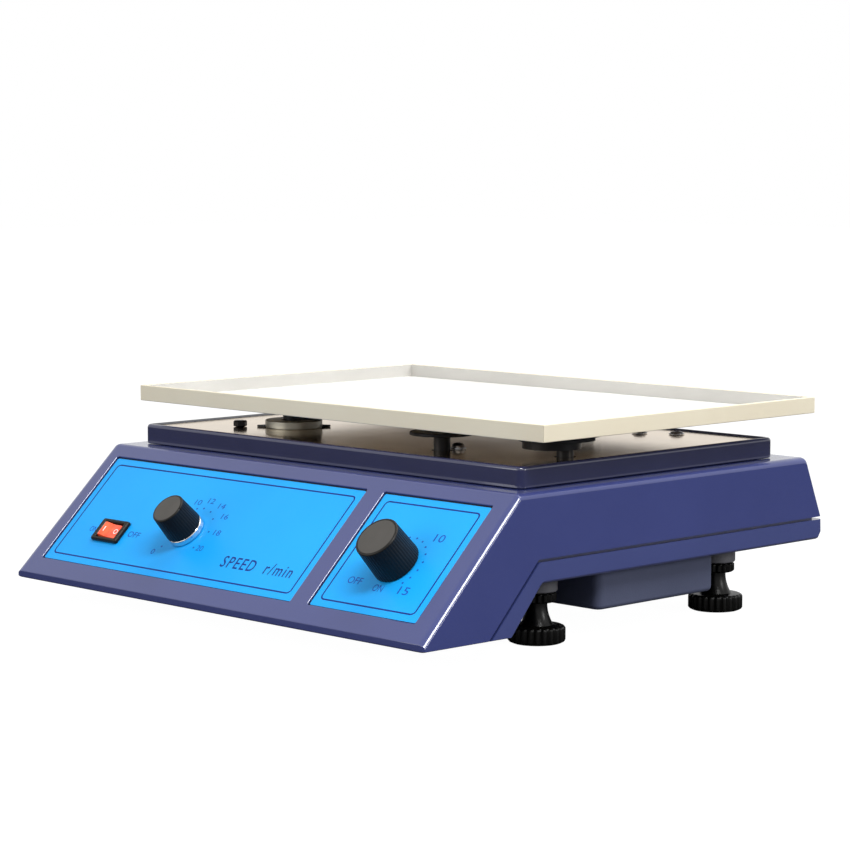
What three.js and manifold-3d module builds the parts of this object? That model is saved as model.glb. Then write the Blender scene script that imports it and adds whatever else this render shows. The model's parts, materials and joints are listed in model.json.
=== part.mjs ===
// Orbital shaker: a bench shaker whose tray-like platform rides on four equal cranks, one of them belt
// driven.
// Millimetres, +Z up. The housing frame has x = 0 on the housing's middle plane, y = 0 at the front edge
// and z = 0 on the table; the exported group is shifted so that the origin is under the middle of the model.
import * as THREE from "three";
import { mergeVertices } from "three/addons/utils/BufferGeometryUtils.js";
import Module from "manifold-3d";

// ---------- driving dimensions ----------
const GAP = 0.3; // clearance kept between touching pieces
const PIN_PLAY = 0.3; // radial clearance of a turning pin in its hole

// housing
const HOUSING_HALF_WIDTH = 165;
const HOUSING_TAPER = 2; // each side leans in by this much at deck height
const NOSE_BOTTOM = 12.2;
const NOSE_TOP = 16.1;
const DECK_Z = 83;
const SLOPE_BACK_Y = 69.2;
const DECK_BACK_Y = 299.9;
const REAR_Y = 312.7;
const REAR_KNEE_Z = 49.9;
const SHELL_BOTTOM = 36.1;
const SHELL_FRONT_Y = 84.5; // where the shell's flat bottom meets its sloping front
const SHELL_TOE_Y = 62.3;
const SEAM_Z = 48.3;
const SEAM_KNEE_Y = 81.7;
const SEAM_TOE_Y = 45.6;
const SEAM_HALF = 0.8; // half the width of the dark joint line
const TONGUE_HEIGHT = 4;
const TONGUE_THICKNESS = 1.5;
const COVER_WALL = 4;
const SHELL_WALL = 2.2;
const EDGE_ROUND = 1;
const INNER_HALF = HOUSING_HALF_WIDTH - COVER_WALL - 1; // half width of the space inside the walls

// slope
const SLOPE_RISE = DECK_Z - NOSE_TOP;
const SLOPE_ANGLE = Math.atan2(SLOPE_RISE, SLOPE_BACK_Y);

// label recesses, in slope coordinates: x across, t up the slope
const RECESS_DEPTH = 1.8;
const LABEL_THICKNESS = 0.6;
const SPEED_LABEL = { x0: -152.5, x1: 58.5, t0: 11.2, t1: 87.3 };
const TIMER_LABEL = { x0: 71.5, x1: 150, t0: 11.5, t1: 87.2 };
const LABEL_CORNER = 3;

// controls on the slope
const SWITCH = { x: -111.8, t: 35.9, width: 22.7, height: 15, rim: 2, depth: 14, halfX: 9.2, halfT: 6.2 };
const SWITCH_HOLE_PLAY = 0.4;
const ROCKER = { length: 17.4, width: 10.8, tilt: THREE.MathUtils.degToRad(10), pivotRise: 0.4 };
const SPEED = { x: -52.6, t: 44.1, topR: 9.6, baseR: 10.7, height: 19.8, ribs: 30 };
const SKIRT = { outerR: 11.1, height: 3.4 };
const TIMER = { x: 111.7, t: 45.2, topR: 12.2, baseR: 12.9, height: 20.6, ribs: 36 };
const SPINDLE_R = 3;
const SPINDLE_HOLE_R = 4.2;
const SPINDLE_STOP = 4.5; // how far below its knob's top a spindle ends
const POTENTIOMETER = { r: 11.5, height: 9 };
const TIMER_BOX = { half: 15, height: 20, spindleDepth: 16 };

// top frame and deck plate
const FRAME_WIDTH = 302;
const FRAME_DEPTH = 203.1;
const FRAME_CENTRE_Y = 183;
const FRAME_TOP = 94.5;
const FRAME_WALL = 4.2;
const FRAME_LEDGE = 8;
const DECK_PLATE_TOP = 93.5;
const DECK_PLATE_THICKNESS = 3;
const DECK_PLATE_BOTTOM = DECK_PLATE_TOP - DECK_PLATE_THICKNESS;

// platform
const TRAY = { width: 320.6, depth: 219, bottom: 108, top: 117, floor: 1.5, wall: 2.2 };

// cranks: every crank has the same throw and stands at the same angle, so the platform never turns
const THROW = 10;
const CRANK_ANGLE = THREE.MathUtils.degToRad(48);
const SHAFT_R = 4.5;
const PIN_R = 4;
const DRIVE_AT = [-84, 138];
const IDLERS = {
  front: { at: [62, 114], weight: false },
  right: { at: [129, 138], weight: true },
  rear: { at: [20, 255], weight: false },
};
const WEB_BOTTOM = 102;
const WEB_TOP = 103.6;
const PIN_TOP = 107.1;

// belt drive
const MOTOR_AT = [10, 181];
const MOTOR_R = 31;
const DRIVEN_PULLEY_R = 30;
const MOTOR_PULLEY_R = 12;
const PULLEY_BOTTOM = 68;
const PULLEY_TOP = 78;
const PULLEY_FLANGE = 1;
const BELT_THICKNESS = 2;
const MOTOR = { bottom: 19, top: 62.7, shaftR: 4, shaftBottom: 57 };
const BRACKET = { half: 34, bottom: 63, thickness: 2.5, legFrom: -10, legTo: 24, footReach: 9 };

// electrics inside the housing
const TRANSFORMER = { x: 105, y: 181, bottom: 18 };
const BOARD = { x0: -50, x1: 70, y0: 92, y1: 134, z: 45, thickness: 1.6, legR: 3, legInset: 5 };

// underside box
const BOX = { halfWidth: 154, front: 137, back: 231, bottom: 15.1, wall: 2, round: 5 };

// feet
const FOOT_X = 135;
const FOOT_FRONT_Y = 110.5;
const FOOT_REAR_Y = 254.6;
const FOOT_PLACES = {
  front_left: [-FOOT_X, FOOT_FRONT_Y],
  front_right: [FOOT_X, FOOT_FRONT_Y],
  rear_left: [-FOOT_X, FOOT_REAR_Y],
  rear_right: [FOOT_X, FOOT_REAR_Y],
};
const STUD_HOLE_PLAY = 0.5;
const FOOT = {
  discR: 15,
  discHeight: 9,
  coneBottomR: 8.6,
  coneTopR: 5.8,
  coneTop: 21,
  studR: 4,
  studTop: 50,
};
const LOCK_RING = { bottom: 21.3, top: 26.4, outerR: 10.3 };
const BOSS = { bottom: 26.8, r: 10.8 };
const PAD = { bottomR: 9, topR: 8, height: 7 }; // stiffening pads inside the shell, over the bosses

const ROUND = 24; // facets of a round piece
const FINE = 36; // facets of a large or conspicuous one

const PIN_OFFSET = [THROW * Math.cos(CRANK_ANGLE), THROW * Math.sin(CRANK_ANGLE)];
const pinOf = ([x, y]) => [x + PIN_OFFSET[0], y + PIN_OFFSET[1]];
const TRAY_CENTRE = pinOf([0, FRAME_CENTRE_Y]);

// ---------- materials ----------
const paint = (color, roughness = 0.4, metalness = 0) =>
  new THREE.MeshStandardMaterial({ color, roughness, metalness });
const NAVY = () => paint("#363c74", 0.35);
const NAVY_DARK = () => paint("#34344c", 0.35);
const BOX_BLUE = () => paint("#4b4f66", 0.5);
const OFF_WHITE = () => paint("#dcd6cc", 0.4);
const STAINLESS = () => paint("#b8b0a8", 0.15, 1);
const STEEL = () => paint("#a8a8aa", 0.35, 1);
const BLACK_STEEL = () => paint("#1c1c1e", 0.45, 0.6);
const ALUMINIUM = () => paint("#c4c6c8", 0.4, 1);
const LABEL_BLUE = () => paint("#38a8ff", 0.35);
const BLACK_PLASTIC = () => paint("#141418", 0.5);
const GREY_PLASTIC = () => paint("#5c5c60", 0.5);
const ROCKER_RED = () => paint("#f07040", 0.25);
const RUBBER = () => paint("#161616", 0.8);
const BOARD_GREEN = () => paint("#1f6b3a", 0.5);
const COPPER_TAPE = () => paint("#c98b3c", 0.5);

// ---------- solids ----------
const wasm = await Module();
wasm.setup();

function toSolid(geometry, matrix) {
  const placed = geometry.index ? geometry.toNonIndexed() : geometry.clone();
  for (const name of Object.keys(placed.attributes)) {
    if (name !== "position") placed.deleteAttribute(name);
  }
  if (matrix) placed.applyMatrix4(matrix);
  const merged = mergeVertices(placed, 1e-3);
  return new wasm.Manifold(
    new wasm.Mesh({
      numProp: 3,
      vertProperties: merged.attributes.position.array,
      triVerts: new Uint32Array(merged.index.array),
    }),
  );
}

function toGeometry(solid) {
  const mesh = solid.getMesh();
  const positions = new Float32Array(mesh.numVert * 3);
  for (let i = 0; i < mesh.numVert; i++) {
    positions.set(mesh.vertProperties.subarray(i * mesh.numProp, i * mesh.numProp + 3), i * 3);
  }
  const geometry = new THREE.BufferGeometry();
  geometry.setAttribute("position", new THREE.BufferAttribute(positions, 3));
  geometry.setIndex(new THREE.BufferAttribute(new Uint32Array(mesh.triVerts), 1));
  geometry.computeVertexNormals();
  return geometry;
}

const shift = (x, y, z) => new THREE.Matrix4().makeTranslation(x, y, z);
const join = (...solids) => solids.reduce((a, b) => a.add(b));
const cut = (body, ...tools) => tools.reduce((a, b) => a.subtract(b), body);

// A box between two corners.
function block(x0, x1, y0, y1, z0, z1) {
  const geometry = new THREE.BoxGeometry(x1 - x0, y1 - y0, z1 - z0);
  return toSolid(geometry, shift((x0 + x1) / 2, (y0 + y1) / 2, (z0 + z1) / 2));
}

// An upright cylinder or cone.
function round(x, y, z0, z1, r0, r1 = r0, facets = ROUND) {
  const geometry = new THREE.CylinderGeometry(r1, r0, z1 - z0, facets);
  geometry.rotateX(Math.PI / 2);
  return toSolid(geometry, shift(x, y, (z0 + z1) / 2));
}

// A turned piece about an upright axis; the profile is a list of [radius, height] from bottom to top.
function turned(profile, x = 0, y = 0, facets = ROUND) {
  const geometry = new THREE.LatheGeometry(
    profile.map(([r, z]) => new THREE.Vector2(r, z)),
    facets,
  );
  geometry.rotateX(Math.PI / 2);
  return toSolid(geometry, shift(x, y, 0));
}

function shapeOf(points) {
  return new THREE.Shape(points.map(([x, y]) => new THREE.Vector2(x, y)));
}

// A plan outline pulled up from z0 to z1, with optional rounded top and bottom edges.
function prism(shape, z0, z1, bevel = 0, bevelSegments = 1) {
  const geometry = new THREE.ExtrudeGeometry(shape, {
    depth: z1 - z0 - 2 * bevel,
    bevelEnabled: bevel > 0,
    bevelSize: bevel,
    bevelThickness: bevel,
    bevelOffset: -bevel,
    bevelSegments,
    curveSegments: 4,
  });
  return toSolid(geometry, shift(0, 0, z0 + bevel));
}

function roundedRectangle(x0, x1, y0, y1, r) {
  const s = new THREE.Shape();
  s.moveTo(x0 + r, y0);
  s.lineTo(x1 - r, y0);
  s.absarc(x1 - r, y0 + r, r, -Math.PI / 2, 0);
  s.lineTo(x1, y1 - r);
  s.absarc(x1 - r, y1 - r, r, 0, Math.PI / 2);
  s.lineTo(x0 + r, y1);
  s.absarc(x0 + r, y1 - r, r, Math.PI / 2, Math.PI);
  s.lineTo(x0, y0 + r);
  s.absarc(x0 + r, y0 + r, r, Math.PI, 1.5 * Math.PI);
  return s;
}

// The outline of a belt or strap lying round two circles.
function strapShape([xa, ya], ra, [xb, yb], rb, steps = 20) {
  const distance = Math.hypot(xb - xa, yb - ya);
  const heading = Math.atan2(yb - ya, xb - xa);
  const lean = Math.acos((ra - rb) / distance);
  const points = [];
  const arc = (x, y, r, from, to) => {
    for (let i = 0; i <= steps; i++) {
      const a = from + ((to - from) * i) / steps;
      points.push([x + r * Math.cos(a), y + r * Math.sin(a)]);
    }
  };
  arc(xa, ya, ra, heading + lean, heading + 2 * Math.PI - lean);
  arc(xb, yb, rb, heading - lean, heading + lean);
  return shapeOf(points);
}

// A circle with ribs or scallops along its edge.
function ribbedCircle(radius, ribs, depth, pointsPerRib = 2) {
  const points = [];
  for (let i = 0; i < ribs * pointsPerRib; i++) {
    const a = (i / (ribs * pointsPerRib)) * 2 * Math.PI;
    const r = radius - (i % pointsPerRib ? depth : 0);
    points.push([r * Math.cos(a), r * Math.sin(a)]);
  }
  return shapeOf(points);
}

// Moves each side of a closed outline inwards by its own distance; side i runs from point i to point i + 1.
function inset(points, distances) {
  const n = points.length;
  const sides = points.map(([x, y], i) => {
    const [u, v] = points[(i + 1) % n];
    const length = Math.hypot(u - x, v - y);
    const inward = [-(v - y) / length, (u - x) / length];
    const d = distances[i];
    return { x: x + inward[0] * d, y: y + inward[1] * d, dx: (u - x) / length, dy: (v - y) / length };
  });
  return points.map((_, i) => {
    const a = sides[(i + n - 1) % n];
    const b = sides[i];
    const k = ((b.x - a.x) * b.dy - (b.y - a.y) * b.dx) / (a.dx * b.dy - a.dy * b.dx);
    return [a.x + a.dx * k, a.y + a.dy * k];
  });
}

// Rounds the corners of an outline; radii holds one radius for each point.
function softened(points, radii, steps = 2) {
  const n = points.length;
  const out = [];
  points.forEach(([x, y], i) => {
    const r = radii[i];
    if (!r) {
      out.push([x, y]);
      return;
    }
    const before = points[(i + n - 1) % n];
    const after = points[(i + 1) % n];
    const corner = new THREE.Vector2(x, y);
    const toBefore = new THREE.Vector2(...before).sub(corner).normalize();
    const toAfter = new THREE.Vector2(...after).sub(corner).normalize();
    const half = Math.acos(THREE.MathUtils.clamp(toBefore.dot(toAfter), -1, 1)) / 2;
    const reach = r / Math.tan(half);
    const start = corner.clone().addScaledVector(toBefore, reach);
    const end = corner.clone().addScaledVector(toAfter, reach);
    const curve = new THREE.QuadraticBezierCurve(start, corner, end);
    for (const p of curve.getPoints(steps)) out.push([p.x, p.y]);
  });
  return out;
}

// Turns a side-view outline (y, z) into a body across x, from -half to +half.
function across(outline, half, bevel = 0, bevelSegments = 2) {
  const geometry = new THREE.ExtrudeGeometry(shapeOf(outline), {
    depth: 2 * (half - bevel),
    bevelEnabled: bevel > 0,
    bevelSize: bevel,
    bevelThickness: bevel,
    bevelOffset: -bevel,
    bevelSegments,
  });
  // shape x -> y, shape y -> z, depth -> x
  const turn = new THREE.Matrix4().makeBasis(
    new THREE.Vector3(0, 1, 0),
    new THREE.Vector3(0, 0, 1),
    new THREE.Vector3(1, 0, 0),
  );
  geometry.applyMatrix4(turn);
  geometry.translate(-(half - bevel), 0, 0);
  return geometry;
}

// Leans the sides in towards deck height.
function leanIn(geometry) {
  const p = geometry.attributes.position;
  for (let i = 0; i < p.count; i++) {
    const rise = (p.getZ(i) - NOSE_BOTTOM) / (DECK_Z - NOSE_BOTTOM);
    p.setX(i, p.getX(i) * (1 - (rise * HOUSING_TAPER) / HOUSING_HALF_WIDTH));
  }
  return geometry;
}

// ---------- slope frame ----------
const slopeFrame = new THREE.Matrix4()
  .makeTranslation(0, 0, NOSE_TOP)
  .multiply(new THREE.Matrix4().makeRotationX(SLOPE_ANGLE));
const onSlope = (solid) => solid.transform(Array.from(slopeFrame.elements));

// ---------- housing ----------
// Side view, anticlockwise from the front lip's foot.
const HOUSING_OUTLINE = [
  [0, NOSE_BOTTOM],
  [SHELL_TOE_Y, NOSE_BOTTOM - 0.4],
  [SHELL_FRONT_Y, SHELL_BOTTOM],
  [REAR_Y - 3.5, SHELL_BOTTOM],
  [REAR_Y, SHELL_BOTTOM + 4.5],
  [REAR_Y, REAR_KNEE_Z],
  [DECK_BACK_Y, DECK_Z],
  [SLOPE_BACK_Y, DECK_Z],
  [0, NOSE_TOP],
];
// Wall thickness under each side of the inner outline, which leaves out the lip and the rear chamfer.
const HOUSING_WALLS = [
  SHELL_WALL,
  SHELL_WALL,
  SHELL_WALL,
  COVER_WALL,
  COVER_WALL,
  COVER_WALL - 0.6,
  COVER_WALL,
];

function housingBody() {
  const radii = [1.4, 1.4, 2, 1.6, 2, 2, 3.2, 2.4, 1.4];
  const outline = softened(HOUSING_OUTLINE, radii);
  return toSolid(leanIn(across(outline, HOUSING_HALF_WIDTH, EDGE_ROUND)));
}

// The space inside the walls, drawn in from them by a further distance.
function housingHollow(further = 0) {
  const slopeFootY = -(NOSE_TOP - NOSE_BOTTOM) / Math.tan(SLOPE_ANGLE);
  const outline = [
    [slopeFootY, NOSE_BOTTOM],
    ...HOUSING_OUTLINE.slice(1, 3),
    [REAR_Y, SHELL_BOTTOM],
    ...HOUSING_OUTLINE.slice(5, 8),
  ];
  const walls = HOUSING_WALLS.map((d) => d + further);
  return toSolid(across(inset(outline, walls), INNER_HALF - further));
}

// Everything behind and below the joint line, moved out from it by a distance.
function belowSeam(distance) {
  const far = 400;
  const slant = Math.atan2(SEAM_Z - NOSE_BOTTOM, SEAM_KNEE_Y - SEAM_TOE_Y);
  const along = distance / Math.sin(slant);
  const low = -20;
  const lowY = SEAM_TOE_Y - (NOSE_BOTTOM - low) / Math.tan(slant) + along;
  const kneeY = SEAM_KNEE_Y + along - distance / Math.tan(slant);
  const outline = [
    [lowY, low],
    [far, low],
    [far, SEAM_Z - distance],
    [kneeY, SEAM_Z - distance],
  ];
  return toSolid(across(outline, 200));
}

function labelPocket({ x0, x1, t0, t1 }) {
  return onSlope(prism(roundedRectangle(x0, x1, t0, t1, LABEL_CORNER), -RECESS_DEPTH, 10));
}

const INLET = {
  x: -95,
  z: 67,
  width: 27,
  height: 19.6,
  flangeWidth: 31,
  flangeHeight: 24,
  flange: 2,
  depth: 16,
};
const REAR_LEAN = Math.atan2(REAR_Y - DECK_BACK_Y, DECK_Z - REAR_KNEE_Z);
const INLET_Y = REAR_Y - (INLET.z - REAR_KNEE_Z) * Math.tan(REAR_LEAN);
// local frame of the inlet: x across, y up the rear face, z out of it
const inletFrame = new THREE.Matrix4().makeTranslation(INLET.x, INLET_Y, INLET.z).multiply(
  new THREE.Matrix4().makeBasis(
    new THREE.Vector3(-1, 0, 0),
    new THREE.Vector3(0, -Math.sin(REAR_LEAN), Math.cos(REAR_LEAN)),
    new THREE.Vector3(0, Math.cos(REAR_LEAN), Math.sin(REAR_LEAN)),
  ),
);
const onRear = (solid) => solid.transform(Array.from(inletFrame.elements));

const FRAME_X = FRAME_WIDTH / 2;
const FRAME_Y0 = FRAME_CENTRE_Y - FRAME_DEPTH / 2;
const FRAME_Y1 = FRAME_CENTRE_Y + FRAME_DEPTH / 2;

// Cutters for the switch and the spindles, in slope coordinates.
function switchCutter() {
  const x = SWITCH.halfX + SWITCH_HOLE_PLAY;
  const t = SWITCH.halfT + SWITCH_HOLE_PLAY;
  return block(SWITCH.x - x, SWITCH.x + x, SWITCH.t - t, SWITCH.t + t, -12, 5);
}

const spindleCutter = (knobAt) => round(knobAt.x, knobAt.t, -12, 5, SPINDLE_HOLE_R);

function upperCover(body, hollow) {
  const margin = FRAME_LEDGE;
  const opening = block(-FRAME_X + margin, FRAME_X - margin, FRAME_Y0 + margin, FRAME_Y1 - margin, 70, 100);
  const { width, height } = INLET;
  const inletHole = onRear(block(-width / 2, width / 2, -height / 2, height / 2, -20, 5));
  const noseOpening = block(-INNER_HALF, INNER_HALF, COVER_WALL + GAP, SEAM_KNEE_Y, 0, NOSE_TOP);
  return cut(
    body,
    belowSeam(-SEAM_HALF),
    hollow,
    noseOpening,
    labelPocket(SPEED_LABEL),
    labelPocket(TIMER_LABEL),
    opening,
    onSlope(switchCutter()),
    onSlope(spindleCutter(SPEED)),
    onSlope(spindleCutter(TIMER)),
    inletHole,
  );
}

function lowerShell(body) {
  // a tongue stands up inside the cover's wall and closes the joint line from within
  const tongue = housingHollow(GAP).intersect(belowSeam(-TONGUE_HEIGHT));
  const walls = join(body.intersect(belowSeam(SEAM_HALF)), tongue);
  const rear = cut(walls, housingHollow(GAP + TONGUE_THICKNESS));
  // closing plate of the nose, one piece with the shell, inside the cover's walls
  const inside = INNER_HALF - GAP;
  const plateBack = SEAM_TOE_Y + 8;
  const plateFront = COVER_WALL + 2 * GAP;
  const plateBottom = NOSE_BOTTOM + 0.5;
  const plate = block(-inside, inside, plateFront, plateBack, plateBottom, NOSE_BOTTOM + SHELL_WALL);
  const border = 8; // width of shell left under the box's edge
  const window = block(-145, 145, BOX.front + border, BOX.back - border, 20, 50);
  const pads = [];
  const footHoles = [];
  for (const [x, y] of Object.values(FOOT_PLACES)) {
    pads.push(round(x, y, SHELL_BOTTOM + 1, SHELL_BOTTOM + 1 + PAD.height, PAD.bottomR, PAD.topR));
    footHoles.push(round(x, y, 20, 60, FOOT.studR + STUD_HOLE_PLAY));
  }
  return cut(join(rear, plate, ...pads), window, ...footHoles);
}

function undersideBox() {
  const { halfWidth: w, front, back, bottom, wall, round: r } = BOX;
  const top = SHELL_BOTTOM - GAP;
  const outer = prism(roundedRectangle(-w, w, front, back, r), bottom, top + 8, 2.5);
  const inner = block(-w + wall + 1, w - wall - 1, front + wall, back - wall, bottom + wall, top + 20);
  const trim = block(-200, 200, 100, 260, top, top + 30);
  return cut(outer, inner, trim);
}

function topFrame() {
  const outline = roundedRectangle(-FRAME_X, FRAME_X, FRAME_Y0, FRAME_Y1, 4);
  const outer = prism(outline, DECK_Z + GAP, FRAME_TOP + 4, 0).intersect(
    prism(outline, DECK_Z - 6, FRAME_TOP, 2.2),
  );
  const seat = DECK_PLATE_BOTTOM - GAP;
  const well = block(
    -FRAME_X + FRAME_WALL,
    FRAME_X - FRAME_WALL,
    FRAME_Y0 + FRAME_WALL,
    FRAME_Y1 - FRAME_WALL,
    seat,
    110,
  );
  const through = block(
    -FRAME_X + FRAME_LEDGE,
    FRAME_X - FRAME_LEDGE,
    FRAME_Y0 + FRAME_LEDGE,
    FRAME_Y1 - FRAME_LEDGE,
    70,
    110,
  );
  return cut(outer, well, through);
}

const DRIVE_HOUSING = { bottom: 79, barrelR: 15.5, hubR: 16.5, top: 97.9, boreR: 12 };
const EAR = { reach: 21.5, halfWidth: 12.5, tipR: 1.6, turn: THREE.MathUtils.degToRad(45.7), thick: 1.2 };
const DECK_SCREWS = {
  deck_bolt_left: { at: [-107, 117], rise: 3.6, hex: true },
  deck_screw_front: { at: [64, 124], rise: 3.4 },
  deck_screw_rear: { at: [80, 253], rise: 2 },
  deck_screw_corner: { at: [98, 264], rise: 2 },
};
const SCREW_R = 2.5;
const SCREW_END = DECK_PLATE_BOTTOM + GAP; // the screws are tapped into the plate and end inside it

function deckPlate() {
  const inner = FRAME_WALL + GAP;
  const plate = block(
    -FRAME_X + inner,
    FRAME_X - inner,
    FRAME_Y0 + inner,
    FRAME_Y1 - inner,
    DECK_PLATE_BOTTOM,
    DECK_PLATE_TOP,
  );
  const hole = (at, r, facets) => round(...at, 80, 100, r, r, facets);
  const holes = [hole(DRIVE_AT, DRIVE_HOUSING.barrelR + GAP, ROUND)];
  for (const { at } of Object.values(IDLERS)) {
    holes.push(hole(at, SHAFT_R + 1.2, ROUND));
  }
  for (const { at } of Object.values(DECK_SCREWS)) {
    holes.push(hole(at, SCREW_R + GAP, 16));
  }
  return cut(plate, ...holes);
}

// A hexagon bolt or a domed screw, its head rising above the plate.
function deckScrew({ at: [x, y], rise, hex }) {
  const seat = DECK_PLATE_TOP + GAP;
  const top = DECK_PLATE_TOP + rise;
  const dome = [
    [0, seat],
    [4.4, seat],
    [4.4, seat + (top - seat) * 0.4],
    [3.4, seat + (top - seat) * 0.85],
    [0, top],
  ];
  const head = hex ? round(x, y, seat, top, 4.6, 4.6, 6) : turned(dome, x, y, 20);
  return join(head, round(x, y, SCREW_END, DECK_PLATE_TOP + 1, SCREW_R, SCREW_R, 12));
}

// ---------- controls ----------
function labelPlate({ x0, x1, t0, t1 }, holes) {
  const z0 = -RECESS_DEPTH + GAP;
  const outline = roundedRectangle(x0 + GAP, x1 - GAP, t0 + GAP, t1 - GAP, LABEL_CORNER);
  const plate = prism(outline, z0, z0 + LABEL_THICKNESS);
  return cut(plate, ...holes);
}

const LABEL_TOP = -RECESS_DEPTH + GAP + LABEL_THICKNESS;

// A ribbed knob that widens or narrows from its foot to its top, with a bore for the spindle.
function knob({ topR, baseR, height, ribs }, foot) {
  const top = LABEL_TOP + height;
  const geometry = new THREE.ExtrudeGeometry(ribbedCircle(1, ribs, 0.045), {
    depth: 1,
    bevelEnabled: false,
  });
  const p = geometry.attributes.position;
  for (let i = 0; i < p.count; i++) {
    const h = p.getZ(i);
    const r = baseR + (topR - baseR) * h;
    p.setXYZ(i, p.getX(i) * r, p.getY(i) * r, foot + h * (top - 1.2 - foot));
  }
  const cap = turned(
    [
      [0, top - 2],
      [topR * 0.94, top - 2],
      [topR * 0.94, top - 0.9],
      [topR * 0.86, top],
      [0, top],
    ],
    0,
    0,
    FINE,
  );
  const bore = round(0, 0, foot - 1, top - 4, SPINDLE_R + GAP, SPINDLE_R + GAP, 16);
  return cut(join(toSolid(geometry), cap), bore);
}

const skirtRing = () =>
  turned(
    [
      [4.6, LABEL_TOP + GAP],
      [SKIRT.outerR, LABEL_TOP + GAP],
      [SKIRT.outerR - 0.3, LABEL_TOP + SKIRT.height],
      [4.6, LABEL_TOP + SKIRT.height],
      [4.6, LABEL_TOP + GAP],
    ],
    0,
    0,
    FINE,
  );

const spindle = (bottom, top) => round(0, 0, bottom, top, SPINDLE_R, SPINDLE_R, 16);

function potentiometer(bottom) {
  const top = -COVER_WALL - GAP;
  const can = round(0, 0, top - POTENTIOMETER.height, top, POTENTIOMETER.r);
  const tags = block(-6, 6, -16, -10, top - 7, top - 5.5);
  return cut(join(can, tags), round(0, 0, bottom, top + 1, SPINDLE_R + GAP, SPINDLE_R + GAP, 16));
}

function timerMovement() {
  const top = -COVER_WALL - GAP;
  const { half, height, spindleDepth } = TIMER_BOX;
  const box = block(-half, half, -half, half, top - height, top);
  const plate = block(-half - 3, half + 3, -6, 6, top - 1.6, top);
  const tags = [-9, 9].map((x) => block(x - 1, x + 1, half - 1, half + 3, top - 14, top - 9));
  const bore = round(0, 0, top - spindleDepth, top + 1, SPINDLE_R + GAP, SPINDLE_R + GAP, 16);
  return cut(join(box, plate, ...tags), bore);
}

function switchBody() {
  const { width, height, rim, depth, halfX, halfT } = SWITCH;
  const flange = prism(
    roundedRectangle(-width / 2, width / 2, -height / 2, height / 2, 1.2),
    LABEL_TOP + GAP,
    LABEL_TOP + GAP + rim,
    0.6,
  );
  const body = block(-halfX, halfX, -halfT, halfT, -depth, LABEL_TOP + GAP + 0.5);
  const tags = [-6, 0, 6].map((x) => block(x - 0.4, x + 0.4, -2.4, 2.4, -depth - 6, -depth + 1));
  const well = block(
    -ROCKER.length / 2 - GAP - 0.1,
    ROCKER.length / 2 + GAP + 0.1,
    -ROCKER.width / 2 - GAP,
    ROCKER.width / 2 + GAP,
    -depth + 2,
    10,
  );
  return cut(join(flange, body, ...tags), well);
}

// The rocker's side view: two flats that meet in a shallow valley, over a round hub.
function rockerSolid() {
  const half = ROCKER.length / 2 - 0.5;
  const rise = 2.6;
  const outline = [
    [-half, -1.2],
    [-2.4, -4.6],
    [2.4, -4.6],
    [half, -1.2],
    [half, rise],
    [half - 1.2, rise + 0.4],
    [0, 0.9],
    [-half + 1.2, rise + 0.4],
    [-half, rise],
  ];
  const geometry = new THREE.ExtrudeGeometry(shapeOf(outline), {
    depth: ROCKER.width - 0.8,
    bevelEnabled: true,
    bevelSize: 0.4,
    bevelThickness: 0.4,
    bevelOffset: -0.4,
    bevelSegments: 1,
  });
  geometry.translate(0, 0, -ROCKER.width / 2 + 0.4);
  geometry.rotateX(Math.PI / 2);
  return geometry;
}

function mainsInlet() {
  const { width, height, flangeWidth, flangeHeight, flange, depth } = INLET;
  const face = prism(
    roundedRectangle(-flangeWidth / 2, flangeWidth / 2, -flangeHeight / 2, flangeHeight / 2, 2),
    GAP,
    GAP + flange,
    0.5,
  );
  const w = width / 2 - GAP;
  const h = height / 2 - GAP;
  const body = block(-w, w, -h, h, -depth, GAP + 1);
  const socket = prism(
    shapeOf([
      [-11, -8],
      [11, -8],
      [11, 4],
      [7, 8],
      [-7, 8],
      [-11, 4],
    ]),
    -depth + 2.5,
    10,
  );
  const pins = [
    [-7, -2.4],
    [7, -2.4],
    [0, 3],
  ].map(([x, y]) => block(x - 1, x + 1, y - 2, y + 2, -depth + 2, -1));
  return onRear(join(cut(join(face, body), socket), ...pins));
}

// ---------- mechanism ----------
// A turned hub with two pointed ears that lie on the deck.
function driveHousing() {
  const d = DRIVE_HOUSING;
  const seat = DECK_PLATE_TOP + GAP;
  const hub = turned(
    [
      [d.boreR, d.bottom],
      [d.barrelR, d.bottom],
      [d.barrelR, seat],
      [d.hubR, seat],
      [d.hubR, d.top - 0.6],
      [d.hubR - 0.6, d.top],
      [7, d.top],
      [7, d.top - 1.6],
      [d.boreR, d.top - 1.6],
      [d.boreR, d.bottom],
    ],
    ...DRIVE_AT,
    FINE,
  );
  const [x, y] = DRIVE_AT;
  const corners = [
    [EAR.reach, 0],
    [0, EAR.halfWidth],
    [-EAR.reach, 0],
    [0, -EAR.halfWidth],
  ].map(([u, v]) => [
    x + u * Math.cos(EAR.turn) - v * Math.sin(EAR.turn),
    y + u * Math.sin(EAR.turn) + v * Math.cos(EAR.turn),
  ]);
  const outline = softened(corners, [EAR.tipR, 0, EAR.tipR, 0], 4);
  const ears = prism(shapeOf(outline), seat, seat + EAR.thick);
  const inside = (d.boreR + d.hubR) / 2;
  return join(hub, cut(ears, round(x, y, seat - 1, seat + 3, inside, inside, FINE)));
}

const ballBearing = ([x, y], bottom, width, outerR) =>
  turned(
    [
      [SHAFT_R + PIN_PLAY, bottom],
      [outerR, bottom],
      [outerR, bottom + width],
      [SHAFT_R + PIN_PLAY, bottom + width],
      [SHAFT_R + PIN_PLAY, bottom],
    ],
    x,
    y,
  );

// A crank arm's outline: a strap between the shaft and the pin.
const armShape = (at, shaftR, pinR) => strapShape(at, shaftR, pinOf(at), pinR, 10);

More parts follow.
